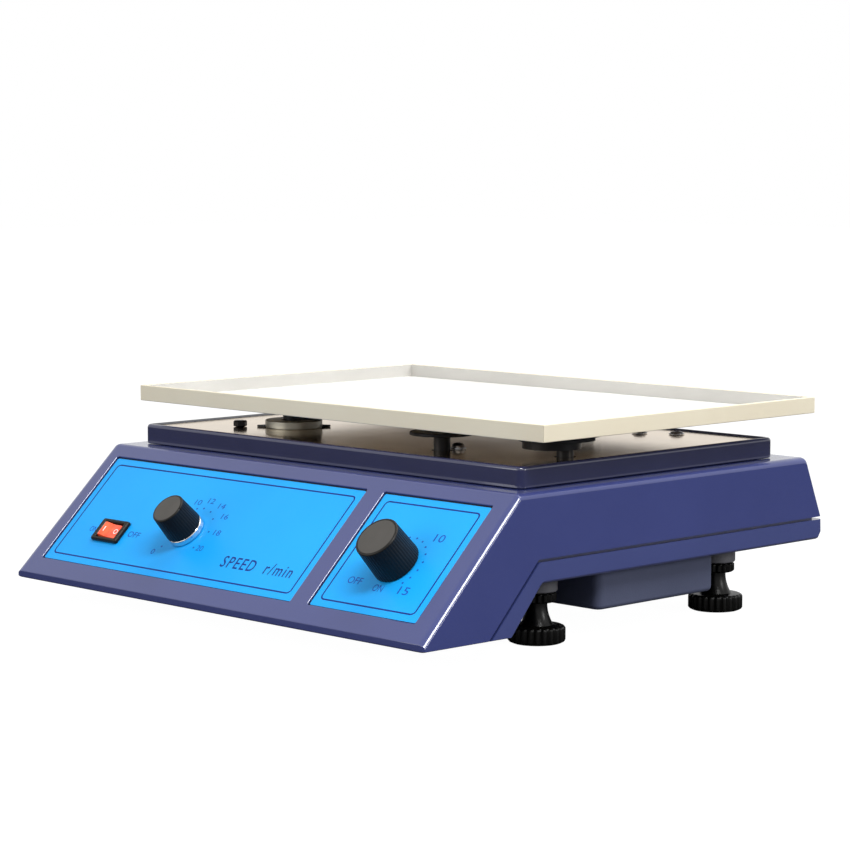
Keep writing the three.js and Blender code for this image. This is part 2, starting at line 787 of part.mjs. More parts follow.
function driveCrank() {
  const [px, py] = pinOf(DRIVE_AT);
  const armBottom = DRIVE_HOUSING.top + GAP;
  return join(
    round(...DRIVE_AT, PULLEY_BOTTOM - 4, armBottom + 1, SHAFT_R),
    prism(armShape(DRIVE_AT, 6.2, 5.9), armBottom, WEB_TOP),
    round(px, py, WEB_TOP - 1, PIN_TOP, PIN_R, PIN_R, 24),
  );
}

const IDLER_HOUSING = { bottom: 70, barrelR: 12.5, flangeR: 13.6, boreR: 10.3 };

function idlerHousing(at) {
  const top = DECK_PLATE_BOTTOM - GAP;
  const d = IDLER_HOUSING;
  return turned(
    [
      [d.boreR, d.bottom],
      [d.barrelR, d.bottom],
      [d.barrelR, top - 3],
      [d.flangeR, top - 3],
      [d.flangeR, top],
      [6.4, top],
      [6.4, top - 2],
      [d.boreR, top - 2],
      [d.boreR, d.bottom],
    ],
    ...at,
  );
}

function idlerCrank({ at, weight }) {
  const [px, py] = pinOf(at);
  const away = (r) => [at[0] - (PIN_OFFSET[0] / THROW) * r, at[1] - (PIN_OFFSET[1] / THROW) * r];
  const parts = [
    round(...at, IDLER_HOUSING.bottom + 2, WEB_BOTTOM + 0.5, SHAFT_R),
    round(px, py, WEB_TOP - 1, PIN_TOP, PIN_R, PIN_R, 24),
  ];
  if (weight) {
    parts.push(prism(strapShape(away(6), 18.5, pinOf(at), 5.9, 12), WEB_BOTTOM, WEB_TOP));
    parts.push(round(...away(7), WEB_BOTTOM - 3.8, WEB_BOTTOM + 0.5, 15.5, 15.5, FINE));
  } else {
    parts.push(round(...at, WEB_BOTTOM, WEB_TOP, 17.4, 17.4, FINE));
  }
  return join(...parts);
}

function pinBearing(at) {
  const hole = PIN_R + PIN_PLAY;
  const top = TRAY.bottom - GAP;
  return turned(
    [
      [hole, WEB_TOP + 0.5],
      [8.5, WEB_TOP + 0.5],
      [8.5, top - 1.5],
      [12, top - 1.5],
      [12, top],
      [hole, top],
      [hole, WEB_TOP + 0.5],
    ],
    ...pinOf(at),
    24,
  );
}

function pulley([x, y], r, boreR) {
  const edge = r + BELT_THICKNESS + 0.8;
  const lower = PULLEY_BOTTOM + PULLEY_FLANGE;
  const upper = PULLEY_TOP - PULLEY_FLANGE;
  const half = (edge - boreR) * 0.45;
  const web = boreR + half;
  const dished = r > 20;
  const profile = [
    [boreR, PULLEY_BOTTOM],
    [edge, PULLEY_BOTTOM],
    [edge, lower],
    [r, lower],
    [r, upper],
    [edge, upper],
    [edge, PULLEY_TOP],
  ];
  if (dished) {
    const floor = PULLEY_TOP - 4;
    profile.push([r - 3, PULLEY_TOP], [r - 3, floor], [web - 4, floor], [web - 4, PULLEY_TOP]);
  }
  profile.push([boreR, PULLEY_TOP], [boreR, PULLEY_BOTTOM]);
  return turned(profile, x, y, FINE);
}

function motorRotor() {
  return join(
    pulley(MOTOR_AT, MOTOR_PULLEY_R, 3),
    round(...MOTOR_AT, MOTOR.shaftBottom, PULLEY_TOP + 1, MOTOR.shaftR),
  );
}

function driveBelt() {
  const inner = strapShape(DRIVE_AT, DRIVEN_PULLEY_R + GAP, MOTOR_AT, MOTOR_PULLEY_R + GAP);
  const outer = strapShape(
    DRIVE_AT,
    DRIVEN_PULLEY_R + GAP + BELT_THICKNESS,
    MOTOR_AT,
    MOTOR_PULLEY_R + GAP + BELT_THICKNESS,
  );
  const z0 = PULLEY_BOTTOM + PULLEY_FLANGE + GAP;
  const z1 = PULLEY_TOP - PULLEY_FLANGE - GAP;
  return cut(prism(outer, z0, z1), prism(inner, z0 - 1, z1 + 1));
}

function motorBody() {
  const [x, y] = MOTOR_AT;
  const can = turned(
    [
      [0, MOTOR.bottom],
      [MOTOR_R - 2, MOTOR.bottom],
      [MOTOR_R, MOTOR.bottom + 2],
      [MOTOR_R, MOTOR.top - 2.7],
      [MOTOR_R - 1.5, MOTOR.top],
      [0, MOTOR.top],
    ],
    x,
    y,
    FINE,
  );
  return cut(can, round(x, y, MOTOR.shaftBottom - 1, MOTOR.top + 1, MOTOR.shaftR + GAP));
}

function motorBracket() {
  const [x, y] = MOTOR_AT;
  const { half, bottom, thickness, legFrom, legTo, footReach } = BRACKET;
  const top = DECK_PLATE_BOTTOM - GAP;
  const plate = block(x - half, x + half, y - half, y + half, bottom, bottom + thickness);
  const legs = [-1, 1].map((side) => {
    const outer = y + side * half;
    const inner = outer - side * thickness;
    const far = outer + side * footReach;
    const strip = (a, b, z0) => block(x + legFrom, x + legTo, Math.min(a, b), Math.max(a, b), z0, top);
    return join(strip(outer, inner, bottom), strip(inner, far, top - thickness));
  });
  const shaftHole = round(x, y, bottom - 3, bottom + 7, MOTOR.shaftR + 3);
  return cut(join(plate, ...legs), shaftHole);
}

function transformer() {
  const { x, y, bottom } = TRANSFORMER;
  const core = block(x - 28, x + 28, y - 22, y + 22, bottom + 6, bottom + 40);
  const winding = block(x - 16, x + 16, y - 29, y + 29, bottom + 9, bottom + 37);
  const foot = block(x - 38, x + 38, y - 12, y + 12, bottom, bottom + 7);
  return join(core, winding, foot);
}

function controlBoard() {
  const { x0, x1, y0, y1, z, thickness, legR, legInset } = BOARD;
  const shellTop = SHELL_BOTTOM + SHELL_WALL + TONGUE_THICKNESS + 2 * GAP;
  const face = z + 1;
  const legs = [];
  for (const x of [x0 + legInset, x1 - legInset]) {
    for (const y of [y0 + legInset, y1 - legInset]) {
      legs.push(round(x, y, shellTop, z + 0.5, legR, legR, 12));
    }
  }
  const heatSink = block(-22, 14, 104, 122, face, z + 16);
  const largeCapacitor = round(34, 106, face, z + 18, 8, 8, 20);
  const smallCapacitor = round(34, 124, face, z + 15, 6, 6, 20);
  const terminals = block(-42, -30, 100, 126, face, z + 11);
  const relay = block(48, 62, 104, 122, face, z + 10);
  const plate = block(x0, x1, y0, y1, z, z + thickness);
  return join(plate, ...legs, heatSink, largeCapacitor, smallCapacitor, terminals, relay);
}

function platformTray() {
  const { width, depth, bottom, top, floor, wall } = TRAY;
  const [cx, cy] = TRAY_CENTRE;
  const box = (grow, z0, z1) =>
    block(cx - width / 2 + grow, cx + width / 2 - grow, cy - depth / 2 + grow, cy + depth / 2 - grow, z0, z1);
  return cut(box(0, bottom, top), box(wall, bottom + floor, top + 5));
}

// ---------- feet ----------
function levellingFoot() {
  const f = FOOT;
  const disc = prism(ribbedCircle(f.discR, 20, 0.9, 2), 0, f.discHeight, 1.2, 1);
  const neck = turned(
    [
      [0, f.discHeight - 1],
      [f.coneBottomR, f.discHeight - 1],
      [f.coneTopR, f.coneTop],
      [f.studR, f.coneTop],
      [f.studR, f.studTop - 0.8],
      [f.studR - 0.8, f.studTop],
      [0, f.studTop],
    ],
    0,
    0,
    24,
  );
  return join(disc, neck);
}

function lockRing() {
  const ring = prism(ribbedCircle(LOCK_RING.outerR, 18, 0.8, 2), LOCK_RING.bottom, LOCK_RING.top, 0.6, 1);
  return cut(ring, round(0, 0, 0, 60, FOOT.studR + GAP));
}

function footBoss() {
  const boss = round(0, 0, BOSS.bottom, SHELL_BOTTOM - GAP, BOSS.r);
  return cut(boss, round(0, 0, 0, 60, FOOT.studR + GAP));
}

// ---------- scene ----------
const shaker = new THREE.Group();
const housing = new THREE.Group();
shaker.add(housing);
const slope = new THREE.Group();
slope.applyMatrix4(slopeFrame);
housing.add(slope);

function add(parent, name, solid, material, at = [0, 0, 0]) {
  const geometry = solid.isBufferGeometry ? solid : toGeometry(solid);
  const mesh = new THREE.Mesh(geometry, material);
  mesh.name = name;
  mesh.position.set(...at);
  parent.add(mesh);
  return mesh;
}

const body = housingBody();
const hollow = housingHollow();
add(housing, "upper_cover", upperCover(body, hollow), NAVY());
add(housing, "lower_shell", lowerShell(body), NAVY());
add(housing, "underside_box", undersideBox(), BOX_BLUE());
add(housing, "top_frame", topFrame(), NAVY_DARK());
add(housing, "deck_plate", deckPlate(), STAINLESS());
for (const [name, screw] of Object.entries(DECK_SCREWS)) {
  add(housing, name, deckScrew(screw), screw.hex ? BLACK_STEEL() : STEEL());
}

// front controls
const speedPlate = labelPlate(SPEED_LABEL, [switchCutter(), spindleCutter(SPEED)]);
const timerPlate = labelPlate(TIMER_LABEL, [spindleCutter(TIMER)]);
add(slope, "speed_label_plate", speedPlate, LABEL_BLUE());
add(slope, "timer_label_plate", timerPlate, LABEL_BLUE());
add(slope, "power_switch_body", switchBody(), BLACK_PLASTIC(), [SWITCH.x, SWITCH.t, 0]);
const rockerAt = [SWITCH.x, SWITCH.t, LABEL_TOP + ROCKER.pivotRise];
const rocker = add(slope, "power_rocker", rockerSolid(), ROCKER_RED(), rockerAt);
rocker.rotation.y = ROCKER.tilt;
const speedAt = [SPEED.x, SPEED.t, 0];
const timerAt = [TIMER.x, TIMER.t, 0];
const potFloor = -COVER_WALL - GAP - 6;
add(slope, "speed_knob", knob(SPEED, LABEL_TOP + SKIRT.height + GAP), BLACK_PLASTIC(), speedAt);
add(slope, "speed_knob_skirt", skirtRing(), ALUMINIUM(), speedAt);
add(slope, "speed_spindle", spindle(potFloor + 1, LABEL_TOP + SPEED.height - SPINDLE_STOP), STEEL(), speedAt);
add(slope, "speed_potentiometer", potentiometer(potFloor), GREY_PLASTIC(), speedAt);
add(slope, "timer_knob", knob(TIMER, LABEL_TOP + GAP), BLACK_PLASTIC(), timerAt);
add(slope, "timer_spindle", spindle(-18, LABEL_TOP + TIMER.height - SPINDLE_STOP), STEEL(), timerAt);
add(slope, "timer_movement", timerMovement(), GREY_PLASTIC(), timerAt);

// crank mechanism
add(housing, "drive_bearing_housing", driveHousing(), ALUMINIUM());
add(housing, "drive_bearing_lower", ballBearing(DRIVE_AT, 79.6, 7, DRIVE_HOUSING.boreR - GAP), STEEL());
add(housing, "drive_bearing_upper", ballBearing(DRIVE_AT, 88.9, 7, DRIVE_HOUSING.boreR - GAP), STEEL());
add(housing, "drive_crank", driveCrank(), BLACK_STEEL());
add(housing, "driven_pulley", pulley(DRIVE_AT, DRIVEN_PULLEY_R, SHAFT_R + GAP), ALUMINIUM());
add(housing, "drive_pin_bearing", pinBearing(DRIVE_AT), BLACK_STEEL());
for (const [place, idler] of Object.entries(IDLERS)) {
  add(housing, `${place}_idler_housing`, idlerHousing(idler.at), ALUMINIUM());
  add(housing, `${place}_idler_bearing`, ballBearing(idler.at, 72, 14, IDLER_HOUSING.boreR - GAP), STEEL());
  add(housing, `${place}_idler_crank`, idlerCrank(idler), BLACK_STEEL());
  add(housing, `${place}_pin_bearing`, pinBearing(idler.at), BLACK_STEEL());
}
add(housing, "motor", motorBody(), STEEL());
add(housing, "motor_bracket", motorBracket(), STEEL());
add(housing, "motor_pulley", motorRotor(), ALUMINIUM());
add(housing, "drive_belt", driveBelt(), RUBBER());
add(housing, "platform_tray", platformTray(), OFF_WHITE());

// electrics
add(housing, "transformer", transformer(), COPPER_TAPE());
add(housing, "control_board", controlBoard(), BOARD_GREEN());
add(housing, "mains_inlet", mainsInlet(), BLACK_PLASTIC());

// feet
for (const [place, [x, y]] of Object.entries(FOOT_PLACES)) {
  add(housing, `${place}_foot`, levellingFoot(), BLACK_PLASTIC(), [x, y, 0]);
  add(housing, `${place}_lock_ring`, lockRing(), BLACK_PLASTIC(), [x, y, 0]);
  add(housing, `${place}_foot_boss`, footBoss(), GREY_PLASTIC(), [x, y, 0]);
}

// origin on the table, under the middle of the whole model
const extent = new THREE.Box3().setFromObject(shaker);
const middle = extent.getCenter(new THREE.Vector3());
housing.position.set(-middle.x, -middle.y, 0);

export default shaker;
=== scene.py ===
"""Orbital shaker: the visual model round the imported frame."""

import json
import math

import bmesh
import bpy
from mathutils import Matrix, Vector


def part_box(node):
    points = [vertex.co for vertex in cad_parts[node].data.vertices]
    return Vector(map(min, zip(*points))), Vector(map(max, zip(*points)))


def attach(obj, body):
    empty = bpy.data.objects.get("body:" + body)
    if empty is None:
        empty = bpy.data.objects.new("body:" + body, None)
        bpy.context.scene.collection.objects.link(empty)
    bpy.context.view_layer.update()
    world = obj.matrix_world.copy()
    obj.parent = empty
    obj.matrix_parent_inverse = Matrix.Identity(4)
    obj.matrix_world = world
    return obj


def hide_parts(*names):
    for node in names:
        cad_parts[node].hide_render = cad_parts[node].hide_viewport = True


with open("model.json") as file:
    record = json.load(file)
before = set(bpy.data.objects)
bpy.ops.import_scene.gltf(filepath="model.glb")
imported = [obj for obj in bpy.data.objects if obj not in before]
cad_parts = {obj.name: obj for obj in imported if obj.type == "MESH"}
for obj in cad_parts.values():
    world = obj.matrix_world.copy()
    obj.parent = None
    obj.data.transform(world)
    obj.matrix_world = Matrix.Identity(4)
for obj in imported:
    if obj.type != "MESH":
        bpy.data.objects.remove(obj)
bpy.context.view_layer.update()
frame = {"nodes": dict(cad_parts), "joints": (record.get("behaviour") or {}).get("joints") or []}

# ---------- frame ----------
# Shapes are drawn in millimetres from the housing's middle plane, its front edge and the table.
MM = 0.001
JOINTS = {joint["name"]: joint for joint in frame["joints"]}
RIM_LOW, RIM_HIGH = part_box("top_frame")
RIM_CENTRE_Y = 183
ORIGIN = Vector(
    (
        (RIM_LOW.x + RIM_HIGH.x) / 2,
        (RIM_LOW.y + RIM_HIGH.y) / 2 - RIM_CENTRE_Y * MM,
        0,
    )
)
HOUSING = Matrix.Translation(ORIGIN) @ Matrix.Scale(MM, 4)

SLOPE_FOOT_Z = 16.1
PANEL_NORMAL = Vector(JOINTS["speed_knob_turn"]["axis"]).normalized()
SLOPE_ANGLE = math.atan2(-PANEL_NORMAL.y, PANEL_NORMAL.z)
SLOPE = (
    Matrix.Translation(ORIGIN + Vector((0, 0, SLOPE_FOOT_Z * MM)))
    @ Matrix.Rotation(SLOPE_ANGLE, 4, "X")
    @ Matrix.Scale(MM, 4)
)


def joint_point(name):
    """A joint's place in millimetres in the housing's own coordinates."""
    return HOUSING.inverted() @ Vector(JOINTS[name]["pos_m"])


def on_slope(name):
    """A joint's place in millimetres in slope coordinates."""
    return SLOPE.inverted() @ Vector(JOINTS[name]["pos_m"])


def box_mm(node):
    """A node's lowest and highest corner in millimetres in the housing's own coordinates."""
    low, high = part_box(node)
    return HOUSING.inverted() @ low, HOUSING.inverted() @ high


DECK_TOP = box_mm("deck_plate")[1].z


# ---------- materials ----------
class Nodes:
    """A short way to wire a material's nodes."""

    def __init__(self, name):
        self.material = bpy.data.materials.new(name)
        self.material.use_nodes = True
        self.tree = self.material.node_tree
        self.shader = self.tree.nodes["Principled BSDF"]
        self.place = self.tree.nodes.new("ShaderNodeTexCoord").outputs["Object"]

    def add(self, kind, inputs=None, **settings):
        node = self.tree.nodes.new("ShaderNode" + kind)
        for key, value in settings.items():
            setattr(node, key, value)
        for key, value in (inputs or {}).items():
            if isinstance(value, bpy.types.NodeSocket):
                self.tree.links.new(value, node.inputs[key])
            else:
                node.inputs[key].default_value = value
        return node

    def noise(self, scale, detail, roughness=0.55, stretch=None):
        place = self.place
        if stretch:
            mapping = self.add("Mapping", {"Vector": place, "Scale": stretch})
            place = mapping.outputs[0]
        inputs = {"Vector": place, "Scale": scale, "Detail": detail, "Roughness": roughness}
        return self.add("TexNoise", inputs).outputs["Fac"]

    def ramp(self, value, low, high, start=0.0, end=1.0):
        inputs = {"Value": value, "From Min": start, "From Max": end, "To Min": low, "To Max": high}
        return self.add("MapRange", inputs).outputs[0]

    def blend(self, factor, first, second):
        """A mix of two colours, the first of which may be another node's output."""
        below = first if isinstance(first, bpy.types.NodeSocket) else (*first, 1)
        inputs = {0: factor, 6: below, 7: (*second, 1)}
        return self.add("Mix", inputs, data_type="RGBA").outputs[2]

    def bump(self, height, strength, distance):
        inputs = {"Height": height, "Strength": strength, "Distance": distance}
        self.link(self.add("Bump", inputs).outputs[0], "Normal")

    def grain(self, scale, detail, strength, distance):
        self.bump(self.noise(scale, detail), strength, distance)

    def shades(self, share, first, second, socket="Base Color"):
        """A colour that moves between two hex colours."""
        self.link(self.blend(share, linear(first), linear(second)), socket)

    def drift(self, scale, detail, light, dark):
        """A mottled base colour between two shades."""
        self.shades(self.ramp(self.noise(scale, detail), 0, 1, 0.3, 0.7), dark, light)

    def rough(self, scale, low, high, detail=3):
        self.link(self.ramp(self.noise(scale, detail), low, high), "Roughness")

    def link(self, output, socket):
        self.tree.links.new(output, self.shader.inputs[socket])

    def set(self, **values):
        for key, value in values.items():
            self.shader.inputs[key.replace("_", " ")].default_value = value


def linear(hex_colour):
    """A hex colour as linear red, green and blue."""
    parts = [int(hex_colour[i : i + 2], 16) / 255 for i in (1, 3, 5)]
    return tuple(p / 12.92 if p <= 0.04045 else ((p + 0.055) / 1.055) ** 2.4 for p in parts)


def enamel(name, light, dark, roughness, coat, peel=0.12, wear=0.2):
    """Stoved paint on metal: soft mottling, orange peel, and a little dust and rubbing."""
    n = Nodes(name)
    mottle = n.ramp(n.noise(14, 4), 0, 1, 0.3, 0.7)
    colour = n.blend(mottle, linear(dark), linear(light))
    scuffs = n.ramp(n.noise(60, 6, 0.7), 0, wear, 0.62, 0.85)
    rubbed = tuple(c * 1.35 + 0.01 for c in linear(light))
    n.link(n.blend(scuffs, colour, rubbed), "Base Color")
    n.rough(90, roughness - 0.05, roughness + 0.07)
    n.grain(1100, 2, peel, 0.0002)
    n.set(Coat_Weight=coat, Coat_Roughness=0.05, Coat_IOR=1.6, Specular_IOR_Level=0.2)
    return n.material


def brushed_metal(name, light, dark, roughness, stretch, scale, strength=0.12, metallic=1.0):
    """Metal with fine lines along one direction, and cloudy handling marks."""
    n = Nodes(name)
    lines = n.noise(scale, 2, 0.6, stretch)
    clouds = n.noise(22, 4, 0.6)
    n.shades(n.ramp(clouds, 0, 1, 0.35, 0.7), dark, light)
    mixed = n.add("Math", {0: lines, 1: clouds}, operation="MULTIPLY").outputs[0]
    n.link(n.ramp(mixed, roughness * 0.7, roughness * 1.5, 0.1, 0.5), "Roughness")
    n.bump(lines, strength, 0.00005)
    n.set(Metallic=metallic)
    return n.material


def moulded(name, light, dark, roughness, grain=700, strength=0.15, specular=0.5):
    """Moulded plastic with a fine spark-eroded grain."""
    n = Nodes(name)
    n.drift(35, 4, light, dark)
    n.rough(160, roughness - 0.06, roughness + 0.08)
    n.grain(grain, 3, strength, 0.0002)
    n.set(Specular_IOR_Level=specular)
    return n.material


def printed_film(name):
    """The blue front panel film, with a fine matt texture."""
    n = Nodes(name)
    n.drift(9, 3, "#1aaeff", "#10a4fa")
    n.rough(200, 0.34, 0.46)
    n.grain(1800, 2, 0.06, 0.0001)
    n.set(Specular_IOR_Level=0.3)
    return n.material


def rocker_plastic(name):
    """Translucent orange-red switch cap; its emission is a painted glow."""
    n = Nodes(name)
    tone_and_painted_glow = n.ramp(n.noise(120, 2), 0, 1, 0.3, 0.7)
    n.shades(tone_and_painted_glow, "#e8401c", "#ff6a3c")
    n.shades(tone_and_painted_glow, "#e03a14", "#ff7a4a", "Emission Color")
    n.rough(300, 0.12, 0.22, 2)
    n.grain(500, 2, 0.05, 0.0001)
    # The emission strength paints a glow on the cap.
    n.set(Emission_Strength=0.25, Coat_Weight=0.4, Coat_Roughness=0.08)
    return n.material


def rubber(name):
    n = Nodes(name)
    n.shades(n.noise(60, 5), "#101010", "#1e1e1e")
    n.rough(220, 0.65, 0.85)
    n.grain(900, 3, 0.25, 0.0003)
    return n.material


def laminate(name):
    """The white platform panel: a hard laminate with a faint pearl texture."""
    n = Nodes(name)
    n.drift(7, 4, "#f8f7f4", "#f1f0ec")
    scratches = n.ramp(n.noise(40, 2, 0.5, (1, 14, 1)), 0.3, 0.5, 0.4, 0.75)
    n.link(scratches, "Roughness")
    n.grain(1300, 2, 0.06, 0.0001)
    return n.material


def circuit_board(name):
    n = Nodes(name)
    inputs = {"Vector": n.place, "Scale": 260.0, "Randomness": 0.4}
    cells = n.add("TexVoronoi", inputs, feature="DISTANCE_TO_EDGE").outputs["Distance"]
    tracks = n.ramp(cells, 0, 1, 0.02, 0.08)
    n.shades(tracks, "#2f8a50", "#14532c")
    n.rough(200, 0.25, 0.4)
    n.bump(tracks, 0.2, 0.0001)
    return n.material


def taped_winding(name):
    n = Nodes(name)
    inputs = {"Vector": n.place, "Scale": 320.0, "Distortion": 0.4, "Detail": 2.0}
    turns = n.add("TexWave", inputs, bands_direction="Z").outputs["Fac"]
    n.shades(turns, "#9a6a24", "#d59b46")
    n.rough(150, 0.35, 0.55)
    n.bump(turns, 0.35, 0.0004)
    return n.material


MATERIALS = {
    "navy_paint": enamel("navy_enamel", "#353f7c", "#313b76", 0.36, 1.0),
    "shell_paint": enamel("shell_enamel", "#3c467e", "#384278", 0.38, 0.9),
    "dark_navy_paint": enamel("rim_enamel", "#262a50", "#23264a", 0.32, 1.0),
    "grey_blue_paint": enamel("box_enamel", "#5c627c", "#535972", 0.45, 0.0, 0.25),
    "off_white_paint": enamel("tray_enamel", "#f1e9d2", "#ece2ca", 0.42, 0.0, 0.15, 0.15),
    # a darker copy of the tray's paint for its inner faces: painted shade
    "inner_painted_shade": enamel("tray_inner_shaded_enamel", "#cbc9c4", "#c3c1bc", 0.45, 0.0, 0.15, 0.1),
    # near-black paint for the tongue seen through the housing's joint: painted shade where the gap lies in
    # shadow
    "seam_painted_shade": moulded("seam_painted_shade", "#090a0f", "#06070a", 0.8, 600, 0.1, 0.1),
    "laminate": laminate("platform_laminate"),
    # the polished sheet's warm cream tint is painted reflection of the beige tray above it
    "stainless": brushed_metal("polished_sheet", "#f6dcb4", "#dcc096", 0.13, (60, 1, 1), 90, 0.05),
    "steel": brushed_metal("turned_steel", "#b4b4b6", "#97979a", 0.3, (1, 1, 40), 120),
    "aluminium": brushed_metal("machined_aluminium", "#a6a69e", "#8a8a82", 0.4, (1, 1, 30), 140, 0.12, 0.75),
    "bright_metal": brushed_metal("bright_skirt", "#f0f0f2", "#dcdce0", 0.12, (1, 1, 30), 200, 0.05),
    "black_steel": brushed_metal("black_oxide", "#232325", "#161618", 0.38, (1, 1, 1), 60, 0.1, 0.7),
    "label_film": printed_film("panel_film"),
    "fine_ink": moulded("panel_fine_ink", "#1a4fc0", "#1646ac", 0.6, 900, 0.05, 0.3),
    "print_ink": moulded("panel_ink", "#0b2a86", "#092372", 0.6, 900, 0.05, 0.3),
    "black_plastic": moulded("knob_plastic", "#16130f", "#100e0c", 0.4, 900, 0.12, 0.25),
    # a grey copy of the knobs' black plastic for their tops: painted sheen
    "cap_painted_sheen": moulded("knob_cap_painted_sheen", "#474440", "#3c3935", 0.5, 1200, 0.15),
    "foot_plastic": moulded("foot_plastic", "#0a0908", "#060605", 0.3, 700, 0.15, 0.22),
    "grey_plastic": moulded("grey_plastic", "#74747a", "#64646a", 0.5),
    "mark_white": moulded("mark_paint", "#eeeae4", "#dedad2", 0.5),
    "rocker_plastic": rocker_plastic("rocker_cap"),
    "belt_rubber": rubber("belt_rubber"),
    "board": circuit_board("circuit_board"),
    "winding_tape": taped_winding("winding_tape"),
}

# ---------- outlines ----------
def inset(points, distances):
    """Moves each side of an anticlockwise outline inwards; side i runs from point i to point i + 1."""
    count = len(points)
    sides = []
    for i, point in enumerate(points):
        along = (Vector(points[(i + 1) % count]) - Vector(point)).normalized()
        inward = Vector((-along.y, along.x))
        sides.append((Vector(point) + inward * distances[i], along))
    moved = []
    for i in range(count):
        (a, da), (b, db) = sides[i - 1], sides[i]
        gap = b - a
        moved.append(a + da * ((gap.x * db.y - gap.y * db.x) / (da.x * db.y - da.y * db.x)))
    return moved


def rounded(points, radii, steps):
    """An outline with each corner turned into an arc of its own radius."""
    out = []
    count = len(points)
    for i, point in enumerate(points):
        corner = Vector(point)
        radius = radii[i] if hasattr(radii, "__len__") else radii
        if radius <= 0:
            out.append(corner)
            continue
        before = (Vector(points[i - 1]) - corner).normalized()
        after = (Vector(points[(i + 1) % count]) - corner).normalized()
        half = before.angle(after) / 2
        centre = corner + (before + after).normalized() * (radius / math.sin(half))
        reach = radius / math.tan(half)
        start = (corner + before * reach - centre).normalized()
        end = (corner + after * reach - centre).normalized()
        for k in range(steps + 1):
            out.append(centre + start.slerp(end, k / steps) * radius)
    return out


def rectangle(x0, x1, y0, y1, radius, steps=4):
    return rounded([(x0, y0), (x1, y0), (x1, y1), (x0, y1)], radius, steps)


def inside_box(low, high, d, radius, steps=6):
    """A rounded rectangle drawn in from the sides of a box by a distance."""
    return rectangle(low.x + d, high.x - d, low.y + d, high.y - d, radius, steps)


def lifted(outline, z):
    return [Vector((p[0], p[1], z)) for p in outline]


def circle(radius, segments, x=0.0, y=0.0):
    angles = [2 * math.pi * i / segments for i in range(segments)]
    return [Vector((x + radius * math.cos(a), y + radius * math.sin(a))) for a in angles]


# ---------- meshes ----------
def skin(rings, closed=False):
    """A mesh over rings of points that all have the same count; closed joins the last ring to the first."""
    mesh = bmesh.new()
    made = [[mesh.verts.new(p) for p in ring] for ring in rings]
    count = len(rings[0])
    pairs = list(zip(made, made[1:]))
    if closed:
        pairs.append((made[-1], made[0]))
    for low, high in pairs:
        for i in range(count):
            j = (i + 1) % count
            mesh.faces.new((low[i], low[j], high[j], high[i]))
    if not closed:
        mesh.faces.new(list(reversed(made[0])))
        mesh.faces.new(made[-1])
    bmesh.ops.recalc_face_normals(mesh, faces=mesh.faces)
    return mesh


def stack(outlines, closed=False):
    """A mesh through (outline, height) pairs."""
    return skin([lifted(outline, z) for outline, z in outlines], closed)


def turned(profile, x, y, segments, closed=False):
    """A turned piece; the profile lists (radius, height), and a closed one is a ring's section."""
    return stack([(circle(max(r, 0.01), segments, x, y), z) for r, z in profile], closed)


def block(x0, x1, y0, y1, z0, z1):
    """A box between two corners."""
    mesh = bmesh.new()
    bmesh.ops.create_cube(mesh, size=1)
    size = Vector((x1 - x0, y1 - y0, z1 - z0))
    middle = Vector((x1 + x0, y1 + y0, z1 + z0)) / 2
    for v in mesh.verts:
        v.co = Vector(a * b for a, b in zip(v.co, size)) + middle
    return mesh


def quarter(steps):
    """Angles from nothing to a right angle."""
    return [math.pi / 2 * k / steps for k in range(steps + 1)]


def slab(outline, z0, z1, edge):
    """A flat piece of any outline that is nearly convex, with rounded rims."""
    middle = sum((Vector(p) for p in outline), Vector((0, 0))) / len(outline)
    size = max((Vector(p) - middle).length for p in outline)
    rings = []
    turns = quarter(2)
    for z, side, order in ((z0, 1, turns), (z1, -1, reversed(turns))):
        for turn in order:
            shrink = 1 - edge * (1 - math.sin(turn)) / size
            height = z + side * edge * (1 - math.cos(turn))
            rings.append(([middle + (Vector(p) - middle) * shrink for p in outline], height))
    return stack(rings)


def joined(*meshes):
    """One mesh holding several."""
    whole = bmesh.new()
    for mesh in meshes:
        data = bpy.data.meshes.new("part")
        mesh.to_mesh(data)
        mesh.free()
        whole.from_mesh(data)
        bpy.data.meshes.remove(data)
    return whole


def as_object(name, mesh, matrix):
    data = bpy.data.meshes.new(name)
    mesh.to_mesh(data)
    mesh.free()
    if matrix:
        data.transform(matrix)
    obj = bpy.data.objects.new(name, data)
    bpy.context.scene.collection.objects.link(obj)
    return obj


def final_mesh(obj):
    """An object's mesh with its modifiers applied."""
    depsgraph = bpy.context.evaluated_depsgraph_get()
    return bpy.data.meshes.new_from_object(obj.evaluated_get(depsgraph))


def carve(obj, *steps):
    """Applies booleans in order; a step is (operation, mesh, matrix)."""
    tools = []
    for operation, mesh, matrix in steps:
        tool = as_object("tool", mesh, matrix)
        tools.append(tool)
        modifier = obj.modifiers.new("carve", "BOOLEAN")
        modifier.operation = operation
        modifier.solver = "EXACT"
        modifier.object = tool
    made = final_mesh(obj)
    obj.modifiers.clear()
    obj.data = made
    for tool in tools:
        bpy.data.objects.remove(tool)


def cuts(matrix, *meshes):
    """Steps for carve that take meshes away."""
    return [("DIFFERENCE", mesh, matrix) for mesh in meshes]


def smooth(obj, angle):
    """Smooth shading that keeps flat faces flat."""
    obj.data.shade_smooth()
    obj.data.set_sharp_from_angle(angle=math.radians(angle))
    obj.modifiers.new("flat_faces", "WEIGHTED_NORMAL").keep_sharp = True


def piece(name, mesh, finish, body="housing", stands_for=(), matrix=HOUSING, angle=35):
    """A visible piece in its place: its material, the body it rides on and the node it stands for."""
    obj = mesh if isinstance(mesh, bpy.types.Object) else as_object(name, mesh, matrix)
    obj.name = name
    obj.data.materials.clear()
    obj.data.materials.append(MATERIALS[finish])
    smooth(obj, angle)
    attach(obj, body)
    if stands_for:
        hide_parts(*stands_for)
    return obj


